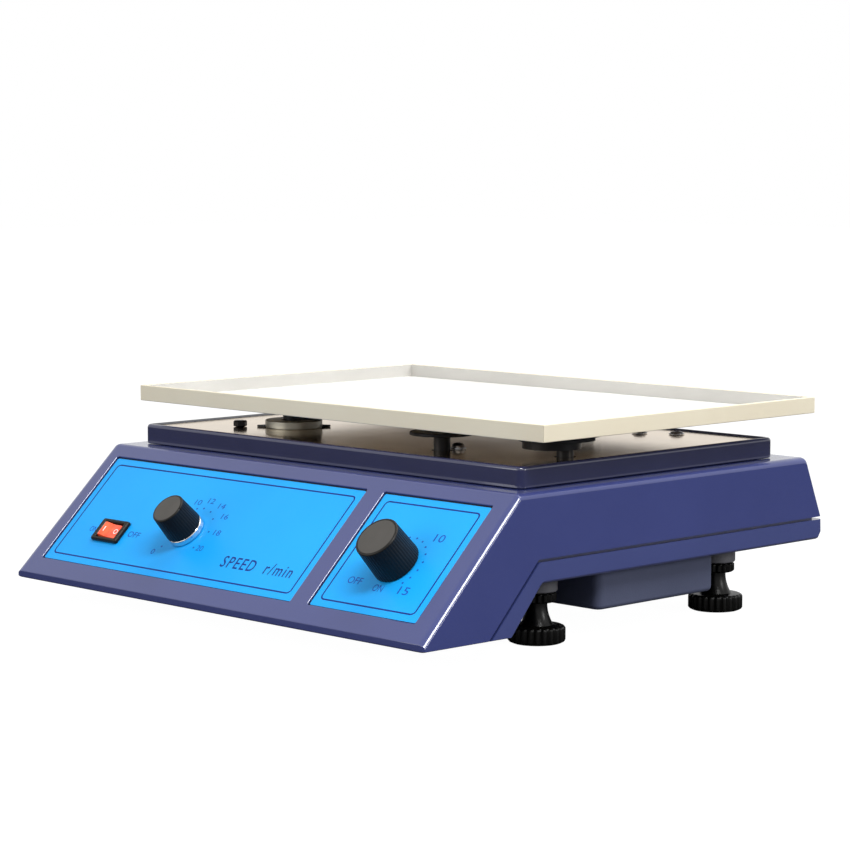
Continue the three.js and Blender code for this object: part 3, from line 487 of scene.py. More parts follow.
def paint_faces(obj, finish, chosen):
    """Gives the chosen faces of a piece a second material."""
    obj.data.materials.append(MATERIALS[finish])
    for polygon in obj.data.polygons:
        if chosen(polygon):
            polygon.material_index = 1


def refine(node, finish, width):
    """Gives a CAD node its material and softened edges."""
    obj = frame["nodes"][node]
    obj.data.materials.clear()
    obj.data.materials.append(MATERIALS[finish])
    weld = obj.modifiers.new("weld", "WELD")
    weld.merge_threshold = 0.01 * MM
    flat = obj.modifiers.new("flat", "DECIMATE")
    flat.decimate_type = "DISSOLVE"
    flat.angle_limit = math.radians(0.5)
    bevel = obj.modifiers.new("edges", "BEVEL")
    bevel.width = width * MM
    bevel.segments = 2
    bevel.limit_method = "ANGLE"
    bevel.angle_limit = math.radians(40)
    for polygon in obj.data.polygons:
        polygon.use_smooth = True
    obj.modifiers.new("flat_faces", "WEIGHTED_NORMAL").keep_sharp = True


# ---------- housing ----------
HALF_WIDTH = 164.98  # a hair inside the CAD body's
TAPER = 2  # how much each side leans in by deck height
LIP_BOTTOM = 12.2
SHELL_BOTTOM = 36.1
DECK_Z = 83
DECK_BACK_Y = 299.9
REAR_Y = 312.7
REAR_KNEE_Z = 49.9
HOUSING_OUTLINE = [
    (0, LIP_BOTTOM),
    (62.3, LIP_BOTTOM - 0.4),
    (84.5, SHELL_BOTTOM),
    (REAR_Y - 3.5, SHELL_BOTTOM),
    (REAR_Y, 40.6),
    (REAR_Y, REAR_KNEE_Z),
    (DECK_BACK_Y, DECK_Z),
    (69.2, DECK_Z),
    (0, SLOPE_FOOT_Z),
]
CORNER_RADII = [1.0, 2, 3, 2.5, 2.5, 3, 4, 3.5, 0.8]
SIDE_ROUND = 4.2  # how far the rounding of the side edges reaches across
EDGE_ROUNDS = [0.7, 2, 2, 2, 2.6, 3.2, 3.2, 2.2, 0.9]  # and how far it reaches into each face
GAP = 0.3  # between neighbouring pieces, as in the CAD model
INNER_HALF = 160  # half width of the space inside
WALLS = [2.2, 2.2, 2.2, 4, 4, 3.4, 4]  # wall thickness under each side of the inner outline
COVER_WALL = 4
TONGUE_THICKNESS = 1.5
TONGUE_HEIGHT = 4
SEAM_Z = 48.3
SEAM_KNEE_Y = 81.7
SEAM_TOE_Y = 45.6
SEAM_HALF = 0.8
SEAM_SLANT = math.atan2(SEAM_Z - LIP_BOTTOM, SEAM_KNEE_Y - SEAM_TOE_Y)
BEYOND = 400  # reach of a cutting body past the model
SPINDLE_HOLE = 4.2
SWITCH_HOLE = (9.6, 6.6)
STUD_OPENING = 4.5
INLET_Z = 67
INLET_HOLE = (13.5, 9.8)
NOSE_PLATE = (0.5, 2.2)  # from the lip's underside to the closing plate's two faces
BOX_BORDER = 8  # width of shell left under the box's edge


def across(outline, x):
    return [Vector((x, p[0], p[1])) for p in outline]


def housing_body():
    """The housing as one solid, its sides leaning in a little towards the deck."""
    rings = []
    turns = quarter(6)
    levels = [(t, -1) for t in turns] + [(t, 1) for t in reversed(turns)]
    for turn, side in levels:
        drawn = [e * (1 - math.sin(turn)) for e in EDGE_ROUNDS]
        outline = inset(HOUSING_OUTLINE, drawn)
        radii = []
        for i, radius in enumerate(CORNER_RADII):
            depth = (drawn[i] + drawn[i - 1]) / 2
            radii.append(radius + depth if i == 2 else max(radius - depth, 0.15))
        x = side * (HALF_WIDTH - SIDE_ROUND * (1 - math.cos(turn)))
        rings.append(across(rounded(outline, radii, 5), x))
    mesh = skin(rings)
    for v in mesh.verts:
        rise = (v.co.z - LIP_BOTTOM) / (DECK_Z - LIP_BOTTOM)
        v.co.x *= 1 - rise * TAPER / HALF_WIDTH
    return mesh


def hollow(further=0.0):
    foot_y = -(SLOPE_FOOT_Z - LIP_BOTTOM) / math.tan(SLOPE_ANGLE)
    outline = [
        (foot_y, LIP_BOTTOM),
        *HOUSING_OUTLINE[1:3],
        (REAR_Y, SHELL_BOTTOM),
        *HOUSING_OUTLINE[5:8],
    ]
    drawn = inset(outline, [wall + further for wall in WALLS])
    half = INNER_HALF - further
    return skin([across(drawn, -half), across(drawn, half)])


def below_seam(distance):
    """Everything behind and below the joint line, moved out from it by a distance."""
    low = -20
    along = distance / math.sin(SEAM_SLANT)
    outline = [
        (SEAM_TOE_Y - (LIP_BOTTOM - low) / math.tan(SEAM_SLANT) + along, low),
        (BEYOND, low),
        (BEYOND, SEAM_Z - distance),
        (SEAM_KNEE_Y + along - distance / math.tan(SEAM_SLANT), SEAM_Z - distance),
    ]
    return skin([across(outline, -200), across(outline, 200)])


LEDGE = 8  # width of the housing's ledge under the rim
RIM_WALL = 4.2
RECESS = 1.8
PANELS = {
    "speed": (-152.5, 58.5, 11.2, 87.3),
    "timer": (71.5, 150, 11.5, 87.2),
}
PANEL_CORNER = 1


def recess(x0, x1, t0, t1):
    """A panel's recess, with a softened brim."""
    rings = []
    for grow, n in ((0, -RECESS), (0, -0.5), (0.08, -0.22), (0.25, -0.06), (0.5, 0), (0.5, 12)):
        ring = rectangle(x0 - grow, x1 + grow, t0 - grow, t1 + grow, PANEL_CORNER + grow)
        rings.append((ring, n))
    return stack(rings)


def inlet_matrix():
    """The rear inlet's own frame: across, up the rear face, and out of it."""
    lean = math.atan2(REAR_Y - DECK_BACK_Y, DECK_Z - REAR_KNEE_Z)
    low, high = box_mm("mains_inlet")
    middle_x = (low.x + high.x) / 2
    y = REAR_Y - (INLET_Z - REAR_KNEE_Z) * math.tan(lean)
    turn = Matrix(
        (
            (-1, 0, 0, middle_x),
            (0, -math.sin(lean), math.cos(lean), y),
            (0, math.cos(lean), math.sin(lean), INLET_Z),
            (0, 0, 0, 1),
        )
    )
    return HOUSING @ turn


def controls_holes():
    """The openings for the switch and the two spindles, in slope coordinates."""
    holes = []
    for name in ("speed_knob_turn", "timer_knob_turn"):
        place = on_slope(name)
        holes.append(turned([(SPINDLE_HOLE, -12), (SPINDLE_HOLE, 5)], place.x, place.y, 32))
    place = on_slope("power_rocker_tilt")
    x, t = SWITCH_HOLE
    holes.append(block(place.x - x, place.x + x, place.y - t, place.y + t, -12, 5))
    return holes


def upper_cover():
    low, high = box_mm("top_frame")
    m = LEDGE
    from_housing = cuts(
        HOUSING,
        below_seam(-SEAM_HALF),
        hollow(),
        block(-INNER_HALF, INNER_HALF, COVER_WALL + GAP, SEAM_KNEE_Y, 0, SLOPE_FOOT_Z),
        block(low.x + m, high.x - m, low.y + m, high.y - m, 70, 100),
    )
    x, y = INLET_HOLE
    from_rear = cuts(inlet_matrix(), block(-x, x, -y, y, -20, 5))
    from_slope = cuts(SLOPE, *[recess(*sides) for sides in PANELS.values()], *controls_holes())
    cover = as_object("upper_cover_painted", housing_body(), HOUSING)
    carve(cover, *from_housing, *from_rear, *from_slope)
    piece("upper_cover_painted", cover, "navy_paint", stands_for=["upper_cover"], angle=28)


def foot_places():
    places = {}
    for name in ("front_left", "front_right", "rear_left", "rear_right"):
        low, high = box_mm(name + "_foot_boss")
        places[name] = Vector(((low.x + high.x) / 2, (low.y + high.y) / 2))
    return places


def lower_shell():
    shell = as_object("lower_shell_painted", housing_body(), HOUSING)
    tongue = as_object("tongue", hollow(GAP), HOUSING)
    carve(tongue, ("INTERSECT", below_seam(-TONGUE_HEIGHT), HOUSING))
    kept = bmesh.new()
    kept.from_mesh(tongue.data)
    bpy.data.objects.remove(tongue)
    box_low, box_high = box_mm("underside_box")
    inside = INNER_HALF - GAP
    bottom, top = [LIP_BOTTOM + rise for rise in NOSE_PLATE]
    plate = block(-inside, inside, COVER_WALL + 2 * GAP, SEAM_TOE_Y + 8, bottom, top)
    window = block(-145, 145, box_low.y + BOX_BORDER, box_high.y - BOX_BORDER, 20, 50)
    steps = [
        ("INTERSECT", below_seam(SEAM_HALF), HOUSING),
        ("UNION", kept, None),
        *cuts(HOUSING, hollow(GAP + TONGUE_THICKNESS)),
        ("UNION", plate, HOUSING),
        *cuts(HOUSING, window),
    ]
    stud = [(STUD_OPENING, 20), (STUD_OPENING, 60)]
    for place in foot_places().values():
        steps += cuts(HOUSING, turned(stud, place.x, place.y, 32))
    carve(shell, *steps)
    name = "lower_shell_painted"
    piece(name, shell, "shell_paint", stands_for=["lower_shell"], angle=28)
    # The tongue's faces in the joint, and the inside above the nose plate, get the near-black paint: painted
    # shade in the gap and inside the nose.
    reach = 0.9 * SEAM_HALF
    plate_top = top + 0.2

    def in_the_joint(polygon):
        middle = HOUSING.inverted() @ polygon.center
        across_joint = (middle.z - LIP_BOTTOM) / math.tan(SEAM_SLANT) + reach / math.sin(SEAM_SLANT)
        before = SEAM_TOE_Y + across_joint
        return middle.z > SEAM_Z - reach or (middle.y < before and middle.z > plate_top)

    paint_faces(shell, "seam_painted_shade", in_the_joint)


def underside_box():
    low, high = box_mm("underside_box")
    radius = 5
    edge = 2.6
    wall = 2
    rings = []
    for turn in quarter(4):
        d = edge * (1 - math.sin(turn))
        z = low.z + edge * (1 - math.cos(turn))
        rings.append((inside_box(low, high, d, radius - d), z))
    rings.append((inside_box(low, high, 0, radius), high.z))
    inner = inside_box(low, high, wall, radius - wall)
    rings.append((inner, high.z))
    rings.append((inner, low.z + wall))
    piece("underside_box_pressed", stack(rings), "grey_blue_paint", stands_for=["underside_box"])


def rim():
    """The frame round the deck, drawn as one section carried round a rounded rectangle."""
    low, high = box_mm("top_frame")
    wall = RIM_WALL
    seat = box_mm("deck_plate")[0].z - GAP
    section = rounded(
        [
            (0, low.z),
            (LEDGE, low.z),
            (LEDGE, seat),
            (wall, seat),
            (wall, DECK_TOP + 0.1),
            (2.4, high.z),
            (0, high.z),
        ],
        [0.6, 0.3, 0.3, 0.3, 0.1, 0.6, 1.9],
        4,
    )
    frame_mesh = stack([(inside_box(low, high, d, max(4.5 - d, 0.3)), z) for d, z in section], closed=True)
    piece("deck_rim", frame_mesh, "dark_navy_paint", stands_for=["top_frame"], angle=40)


IDLERS = ("front", "right", "rear")
SHAFT_OPENING = 5.7
SCREW_OPENING = 2.8
HUB_BARREL = 15.5  # radius of the drive hub where it passes through the deck
SCREWS = ("deck_bolt_left", "deck_screw_front", "deck_screw_rear", "deck_screw_corner")


def deck_sheet():
    low, high = box_mm("deck_plate")
    outline = inside_box(low, high, 0, 1.5, 4)
    sheet = as_object("deck_sheet", slab(outline, low.z, high.z, 0.2), HOUSING)
    holes = [(joint_point("drive_crank_turn"), HUB_BARREL + GAP)]
    holes += [(joint_point(name + "_idler_turn"), SHAFT_OPENING) for name in IDLERS]
    holes += [(sum(box_mm(name), Vector()) / 2, SCREW_OPENING) for name in SCREWS]
    tools = []
    for place, radius in holes:
        tools.append(turned([(radius, low.z - 5), (radius, high.z + 5)], place.x, place.y, 48))
    carve(sheet, *cuts(HOUSING, *tools))
    piece("deck_sheet", sheet, "stainless", stands_for=["deck_plate"])


def deck_bolt(name):
    """A hexagon bolt with a chamfered head and a threaded shank."""
    low, high = box_mm(name)
    x, y = (low.x + high.x) / 2, (low.y + high.y) / 2
    across_corners = (high.x - low.x) / 2
    seat = DECK_TOP + GAP
    profile = [
        (across_corners * 0.93, seat),
        (across_corners, seat + 0.35),
        (across_corners, high.z - 0.7),
        (across_corners * 0.86, high.z),
    ]
    bolt = joined(turned(profile, x, y, 6), shank(x, y, low.z, seat))
    piece(name + "_hexagon", bolt, "black_steel", stands_for=[name], angle=25)


def shank(x, y, bottom, top):
    """A threaded shank."""
    radius = 2.45
    pitch = 0.8
    profile = [(radius - 0.6, bottom)]
    z = bottom + 0.4
    while z < top - pitch:
        profile.append((radius - 0.4, z))
        profile.append((radius, z + pitch * 0.45))
        z += pitch
    profile.append((radius - 0.3, top))
    return turned(profile, x, y, 24)


def deck_screw(name):
    """A pan-head screw with a hexagon socket, on a thin washer."""
    low, high = box_mm(name)
    x, y = (low.x + high.x) / 2, (low.y + high.y) / 2
    seat = DECK_TOP + GAP
    radius = (high.x - low.x) / 2
    rise = high.z - seat
    profile = [
        (radius, seat),
        (radius, seat + 0.16 * rise),
        (radius * 0.98, seat + 0.22 * rise),
        (radius * 0.78, seat + 0.23 * rise),
        (radius * 0.8, seat + 0.5 * rise),
        (radius * 0.72, seat + 0.74 * rise),
        (radius * 0.5, seat + 0.9 * rise),
        (radius * 0.3, high.z),
    ]
    head = as_object(name + "_pan", turned(profile, x, y, 40), HOUSING)
    socket = turned([(1.5, seat + rise / 2), (1.5, high.z + 1)], x, y, 6)
    carve(head, ("DIFFERENCE", socket, HOUSING), ("UNION", shank(x, y, low.z, seat + 0.1), HOUSING))
    piece(name + "_pan", head, "steel", stands_for=[name], angle=30)


# ---------- platform ----------
def platform():
    low, high = box_mm("platform_tray")
    wall = 2.2
    floor = 1.5
    section = rounded([(0, low.z), (wall, low.z), (wall, high.z), (0, high.z)], 0.45, 3)
    joint = 0.06
    corners = [
        (Vector((low.x, low.y)), Vector((1, 1))),
        (Vector((high.x, low.y)), Vector((-1, 1))),
        (Vector((high.x, high.y)), Vector((-1, -1))),
        (Vector((low.x, high.y)), Vector((1, -1))),
    ]
    for i, name in enumerate(("front", "right", "rear", "left")):
        rings = []
        (start, start_in), (end, end_in) = corners[i], corners[(i + 1) % 4]
        along = (end - start).normalized()
        inner = Vector((-along.y, along.x, 0))
        for corner, inward, shift in ((start, start_in, joint), (end, end_in, -joint)):
            ring = []
            for d, z in section:
                point = corner + inward * d + along * shift
                ring.append(Vector((point.x, point.y, z)))
            rings.append(ring)
        node = ["platform_tray"]
        wall_piece = piece("platform_rim_" + name, skin(rings), "off_white_paint", "platform", node)
        # The rim's inner faces take the darker copy of the tray paint: painted shade.
        paint_faces(wall_piece, "inner_painted_shade", lambda face: face.normal.dot(inner) > 0.8)
    edge = wall + 0.05
    outline = inside_box(low, high, edge, 0.3, 2)
    panel = slab(outline, low.z + 0.02, low.z + floor, 0.15)
    piece("platform_panel", panel, "laminate", "platform", ["platform_tray"])


# ---------- controls ----------
FILM_TOP = -0.9  # the panel films' surface, along the slope's normal
FILM_THICKNESS = 0.6
FILM_GAP = 0.75  # between a film and its recess, filled by a black ring that paints the shade along the recess edge
INK_SUNK = 0.02  # how far the print reaches into the film
INK_PROUD = 0.03  # and how far it stands above it
LETTER_WELD = 0.0005
BORDER_INSET = 4.8  # of the printed border line
BORDER_CORNER = 3
BORDER_WIDTH = 0.9
DOT_RADIUS = 0.6


def panel_film(name, holes):
    x0, x1, t0, t1 = PANELS[name]
    gap = FILM_GAP
    outline = rectangle(x0 + gap, x1 - gap, t0 + gap, t1 - gap, PANEL_CORNER, 6)
    film = as_object(name + "_panel_film", slab(outline, FILM_TOP - FILM_THICKNESS, FILM_TOP, 0.12), SLOPE)
    carve(film, *cuts(SLOPE, *holes))
    piece(name + "_panel_film", film, "label_film", stands_for=[name + "_label_plate"])
    d = 0.05
    low, high = FILM_TOP - 0.7, FILM_TOP - 0.1
    # A black ring in the gap round the film: painted shade along the recess edge.
    shade_ring = line_frame(x0 + d, x1 - d, t0 + d, t1 - d, PANEL_CORNER, gap - 0.1, low, high)
    piece(name + "_panel_shade_ring", shade_ring, "black_plastic", matrix=SLOPE)


def line_frame(x0, x1, t0, t1, radius, width, low, high):
    """A flat band round a rounded rectangle."""
    rings = []
    for d, n in ((0, low), (width, low), (width, high), (0, high)):
        rings.append((rectangle(x0 + d, x1 - d, t0 + d, t1 - d, max(radius - d, 0.15), 6), n))
    return stack(rings, closed=True)


def lettering(text, x, t, size, width, weight=0.0, spread=1.0):
    """A word as a flat mesh in slope coordinates, its strokes thickened, stretched to a width."""
    thick = INK_SUNK + INK_PROUD
    curve = bpy.data.curves.new("letters", "FONT")
    curve.body = text
    curve.size = 1
    curve.space_character = spread
    curve.align_x = "CENTER"
    curve.align_y = "CENTER"
    curve.offset = weight
    curve.extrude = thick / 2 / size
    curve.resolution_u = 3
    obj = bpy.data.objects.new("letters", curve)
    bpy.context.scene.collection.objects.link(obj)
    bpy.context.view_layer.update()
    data = final_mesh(obj)
    bpy.data.objects.remove(obj)
    reach = [v.co.x for v in data.vertices]
    stretch = width / (max(reach) - min(reach))
    place = Matrix.Translation((x, t, FILM_TOP + thick / 2 - INK_SUNK))
    data.transform(place @ Matrix.Diagonal((stretch, size, size, 1)))
    mesh = bmesh.new()
    mesh.from_mesh(data)
    bmesh.ops.remove_doubles(mesh, verts=mesh.verts, dist=LETTER_WELD)
    bpy.data.meshes.remove(data)
    return mesh


def dot(x, t, radius):
    return turned([(radius, FILM_TOP - INK_SUNK), (radius, FILM_TOP + INK_PROUD)], x, t, 20)


def polar(centre, radius, degrees):
    angle = math.radians(degrees)
    return centre.x + radius * math.cos(angle), centre.y + radius * math.sin(angle)


def dial(centre, marks, radius, size):
    """Dots and numbers round a knob; a mark is (degrees, text or None, (radius, degrees) of the text)."""
    parts = []
    for degrees, text, place in marks:
        parts.append(dot(*polar(centre, radius, degrees), DOT_RADIUS))
        if text:
            parts.append(lettering(text, *polar(centre, *place), size, 0.5 * size * len(text)))
    return parts


SPEED_MARKS = [
    (227, "0", (22.5, 227)),
    (108, "10", (21.5, 112)),
    (90, "12", (22, 86)),
    (65, "14", (23, 58)),
    (40, "16", (24, 33)),
    (7, "18", (23, 5)),
    (-35, "20", (21, -27)),
]
TIMER_MARKS = [(136, "5", (24, 136)), (46, "10", (24.5, 48)), (-42, "15", (22.5, -45))]
TIMER_FIRST = 190  # the timer's unnumbered dots run clockwise from here, in degrees
TIMER_PITCH = 18
TIMER_STEPS = 15
TIMER_LAST = -60
DOT_SPACING = 4  # a dot this close to a numbered one is left out


def speed_print():
    """The speed panel's large print, and its fine print."""
    knob_at = on_slope("speed_knob_turn")
    rocker_at = on_slope("power_rocker_tilt")
    fine = dial(knob_at, SPEED_MARKS, 16.6, 5.2)
    fine.append(lettering("OFF", rocker_at.x + 19.4, rocker_at.y + 0.4, 5.6, 10))
    fine.append(lettering("ON", rocker_at.x - 16.6, rocker_at.y, 5.2, 6))
    return [lettering("SPEED  r/min", 18, 28.8, 10.6, 56, 0.006, 1.2)], fine


def timer_print():
    """The timer panel has fine print only."""
    knob_at = on_slope("timer_knob_turn")
    marks = list(TIMER_MARKS)
    for step in range(TIMER_STEPS):
        degrees = TIMER_FIRST - TIMER_PITCH * step
        apart = all(abs(degrees - mark[0]) > DOT_SPACING for mark in TIMER_MARKS)
        if degrees > TIMER_LAST and apart:
            marks.append((degrees, None, None))
    fine = dial(knob_at, marks, 16.7, 7.0)
    fine.append(lettering("OFF", knob_at.x - 19.8, knob_at.y - 14.5, 6.2, 10))
    fine.append(lettering("ON", knob_at.x - 1.2, knob_at.y - 16.8, 6.2, 7))
    return [], fine


def panel_print():
    d = BORDER_INSET
    low, high = FILM_TOP - INK_SUNK, FILM_TOP + INK_PROUD
    for name, printed in (("speed", speed_print()), ("timer", timer_print())):
        x0, x1, t0, t1 = PANELS[name]
        border = line_frame(x0 + d, x1 - d, t0 + d, t1 - d, BORDER_CORNER, BORDER_WIDTH, low, high)
        large, fine = printed
        sheet = joined(border, *large)
        piece(name + "_panel_print", sheet, "print_ink", matrix=SLOPE)
        piece(name + "_panel_dial", joined(*fine), "fine_ink", matrix=SLOPE)


FLUTE = 0.16  # depth of a knob's grip grooves
GROOVE_POINTS = 8  # outline points for each groove of a knob, foot or lock ring
KNOB_BRIM = 0.9
KNOB_LEVELS = 6
CAP_PROFILE = ((0.885, -0.28), (0.885, -0.08), (0.87, -0.03), (0.6, -0.07), (0.2, -0.1))


def grooved(radius, grooves, depth):
    """A circle with grooves; depth turns a wave between 0 and 1 into how deep they cut."""
    outline = []
    count = grooves * GROOVE_POINTS
    for i in range(count):
        angle = 2 * math.pi * i / count
        r = radius - depth(0.5 - 0.5 * math.cos(grooves * angle))
        outline.append(Vector((r * math.cos(angle), r * math.sin(angle))))
    return outline


def fluted(radius, flutes):
    """A knob's edge with narrow grooves."""
    return grooved(radius, flutes, lambda wave: FLUTE * wave**1.5)


def knob(name, joint, base, top, base_radius, top_radius, flutes, pointer):
    """A fluted control knob with a rounded brim, a shallow dish on top and a notch as its pointer."""
    place = on_slope(joint)
    move = SLOPE @ Matrix.Translation((place.x, place.y, 0))
    height = top - base
    count = flutes * GROOVE_POINTS
    brim = KNOB_BRIM
    rings = [
        (circle(4, count), base),
        (circle(base_radius * 0.97, count), base),
        (fluted(base_radius, flutes), base + 0.3),
    ]
    for k in range(KNOB_LEVELS + 1):
        share = k / KNOB_LEVELS
        radius = base_radius + (top_radius - base_radius) * share
        rings.append((fluted(radius, flutes), base + 0.6 + (height - 0.6 - brim - 0.5) * share))
    rings.append((circle(top_radius, count), top - brim - 0.1))
    for turn in quarter(5)[1:]:
        radius = top_radius - brim * (1 - math.cos(turn))
        rings.append((circle(radius, count), top - brim + brim * math.sin(turn)))
    rings.append((circle(top_radius * 0.9, count), top - 0.02))
    rings.append((circle(top_radius * 0.89, count), top - 0.3))
    body = as_object(name + "_moulding", stack(rings), move)
    aim = Matrix.Rotation(math.radians(pointer), 4, "Z")
    slot_cut = block(top_radius * 0.91, top_radius * 1.1, -0.3, 0.3, top - 1.6, top + 1)
    bore = turned([(3.3, base - 1), (3.3, top - 4)], 0, 0, 32)
    carve(body, *cuts(move @ aim, slot_cut), *cuts(move, bore))
    piece(name + "_moulding", body, "black_plastic", name, [name], angle=32)
    # The grey disc in the dish paints the sheen of the knob's top on the black plastic.
    disc = [(circle(top_radius * share, 96), top + n) for share, n in CAP_PROFILE]
    piece(name + "_cap", stack(disc), "cap_painted_sheen", name, matrix=move)


def speed_skirt():
    place = on_slope("speed_knob_turn")
    low = FILM_TOP + 0.3
    high = FILM_TOP + 3.4
    section = rounded([(4.6, low), (11.1, low), (10.6, high), (4.6, high)], [0.2, 0.5, 0.7, 0.2], 3)
    ring = turned(section, place.x, place.y, 96, closed=True)
    node = ["speed_knob_skirt"]
    piece("speed_knob_bright_skirt", ring, "bright_metal", "speed_knob", node, SLOPE)


def switch_bezel():
    place = on_slope("power_rocker_tilt")
    move = SLOPE @ Matrix.Translation((place.x, place.y, 0))
    low = FILM_TOP + 0.3
    rim_top = low + 2
    half_x, half_y = 11.35, 7.5
    well_x, well_y = 8.2, 5.2
    section = [
        (half_x, half_y, 1.2, low),
        (half_x, half_y, 1.2, rim_top - 1.0),
        (half_x - 0.25, half_y - 0.25, 1.0, rim_top - 0.35),
        (half_x - 0.7, half_y - 0.7, 0.8, rim_top),
        (well_x + 0.5, well_y + 0.5, 0.4, rim_top),
        (well_x, well_y, 0.3, rim_top - 0.5),
        (well_x, well_y, 0.3, -12),
        (9.2, 6.2, 0.3, -14),
        (9.2, 6.2, 0.3, low),
    ]
    rings = [(rectangle(-half, half, -tall, tall, radius), n) for half, tall, radius, n in section]
    bezel = stack(rings, closed=True)
    piece("switch_bezel", bezel, "black_plastic", stands_for=["power_switch_body"], matrix=move)


MARK_X = 4.4  # distance of the rocker's marks from its middle
MARK_HEIGHTS = (-0.1, 0.06)


def rocker():
    """The rocker cap: two flats that meet in a shallow valley, with on and off marks."""
    place = on_slope("power_rocker_tilt")
    tilt = Matrix.Rotation(math.radians(10), 4, "Y")
    move = SLOPE @ Matrix.Translation((place.x, place.y, FILM_TOP + 0.4)) @ tilt
    half = 7.1
    rise = 1.3
    brow = 0.45  # how far a flat climbs above its end face
    valley = 0.9
    outline = rounded(
        [
            (-half, -1.2),
            (-2.4, -4.6),
            (2.4, -4.6),
            (half, -1.2),
            (half, rise),
            (half - 1.0, rise + brow),
            (0, valley),
            (-half + 1.0, rise + brow),
            (-half, rise),
        ],
        [0.4, 0.8, 0.8, 0.4, 0.5, 0.6, 2.5, 0.6, 0.5],
        3,
    )
    rings = []
    width = 4.5
    ends = ((0.965, width), (0.99, width - 0.15), (1, width - 0.4))
    for shrink, y in [(shrink, -y) for shrink, y in ends] + list(reversed(ends)):
        rings.append([Vector((p.x * shrink, y, p.y * shrink)) for p in outline])
    piece("rocker_cap", skin(rings), "rocker_plastic", "power_rocker", ["power_rocker"], move, angle=30)
    slant = math.atan2(rise + brow - valley, half - 1)
    low, high = MARK_HEIGHTS
    bar = block(-0.35, 0.35, -1.6, 1.6, low, high)
    ring = turned([(1.1, low), (1.7, low), (1.7, high), (1.1, high)], 0, 0, 32, closed=True)
    for name, mark, side in (("rocker_on_mark", bar, -1), ("rocker_off_mark", ring, 1)):
        spot = Matrix.Translation((side * MARK_X, 0, valley + MARK_X * math.tan(slant)))
        lie = Matrix.Rotation(-side * slant, 4, "Y")
        place_mark = move @ spot @ lie
        piece(name, mark, "mark_white", "power_rocker", matrix=place_mark)


# ---------- feet ----------
FOOT_RADIUS = 15
FOOT_TALL = 9  # height of the disc
FOOT_SCALLOPS = 24
NECK_TOP = 21
STUD_RADIUS = 4
STUD_PITCH = 1.25
RING_RADIUS = 10.3
RING_SCALLOPS = 18
BOSS_RADIUS = 10.8
STUD_HOLE = 4.3  # radius of the hole in a lock ring or a boss


def scalloped(radius, scallops, depth):
    """A grip edge: flat lands with rounded grooves between them."""
    return grooved(radius, scallops, lambda wave: depth * max(0.0, wave - 0.35) / 0.65)


def foot_rings(top):
    """A foot's outlines from its sole to the top of its threaded stud."""
    radius, tall = FOOT_RADIUS, FOOT_TALL
    count = FOOT_SCALLOPS * GROOVE_POINTS
    rings = [
        (circle(radius - 5, count), 0.6),
        (circle(radius - 4, count), 0),
        (circle(radius - 2.2, count), 0),
        (scalloped(radius - 0.7, FOOT_SCALLOPS, 0.7), 0.6),
        (scalloped(radius, FOOT_SCALLOPS, 1.0), 1.4),
        (scalloped(radius, FOOT_SCALLOPS, 1.0), tall - 1.5),
        (scalloped(radius - 0.5, FOOT_SCALLOPS, 0.8), tall - 0.6),
        (circle(radius - 1.6, count), tall - 0.1),
        (circle(radius - 2.4, count), tall),
        (circle(9.6, count), tall),
    ]
    for k in range(9):
        share = k / 8
        flare = 5.5 + 3.1 * (1 - share) ** 2.2
        rings.append((circle(flare, count), tall + 0.4 + 11.3 * share))
    rings.append((circle(5.3, count), NECK_TOP))
    z = NECK_TOP + 0.1
    while z < top - 2.2:
        rings.append((circle(STUD_RADIUS - 0.55, count), z))
        rings.append((circle(STUD_RADIUS, count), z + STUD_PITCH * 0.45))
        rings.append((circle(STUD_RADIUS, count), z + STUD_PITCH * 0.55))
        z += STUD_PITCH
    rings.append((circle(STUD_RADIUS - 0.6, count), z))
    rings.append((circle(STUD_RADIUS - 1, count), top))
    return rings


def lock_ring(low, high):
    outer = RING_RADIUS
    section = [
        (STUD_HOLE, low, 0),
        (outer - 1.2, low, 0),
        (outer - 0.3, low + 0.5, 0.8),
        (outer, low + 0.9, 1),
        (outer, high - 0.9, 1),
        (outer - 0.3, high - 0.5, 0.8),
        (outer - 1.2, high, 0),
        (STUD_HOLE, high, 0),
    ]
    return stack([(scalloped(r, RING_SCALLOPS, 0.9 * share), z) for r, z, share in section], closed=True)


def foot_boss(low, high):
    corners = [(STUD_HOLE, low), (BOSS_RADIUS, low), (BOSS_RADIUS, high), (STUD_HOLE, high)]
    return turned(rounded(corners, [0.4, 0.8, 0.2, 0.2], 3), 0, 0, 64, closed=True)


def foot(name, place):
    move = HOUSING @ Matrix.Translation((place.x, place.y, 0))
    node = name + "_foot"
    moulding = stack(foot_rings(box_mm(node)[1].z))
    piece(node + "_moulding", moulding, "foot_plastic", node, [node], move, 30)
    node = name + "_lock_ring"
    low, high = box_mm(node)
    grip = lock_ring(low.z, high.z)
    piece(node + "_grip", grip, "foot_plastic", node, [node], move, 30)
    node = name + "_foot_boss"
    low, high = box_mm(node)
    boss = foot_boss(low.z, high.z)
    piece(node + "_turned", boss, "grey_plastic", stands_for=[node], matrix=move)


# ---------- mechanism ----------
EAR_REACH = 21.5
EAR_HALF_WIDTH = 12.5
EAR_TURN = math.radians(45.7)
HUB_RADIUS = 16.5
HUB_BORE = 12
HUB_MOUTH = 7  # radius of the opening in its top


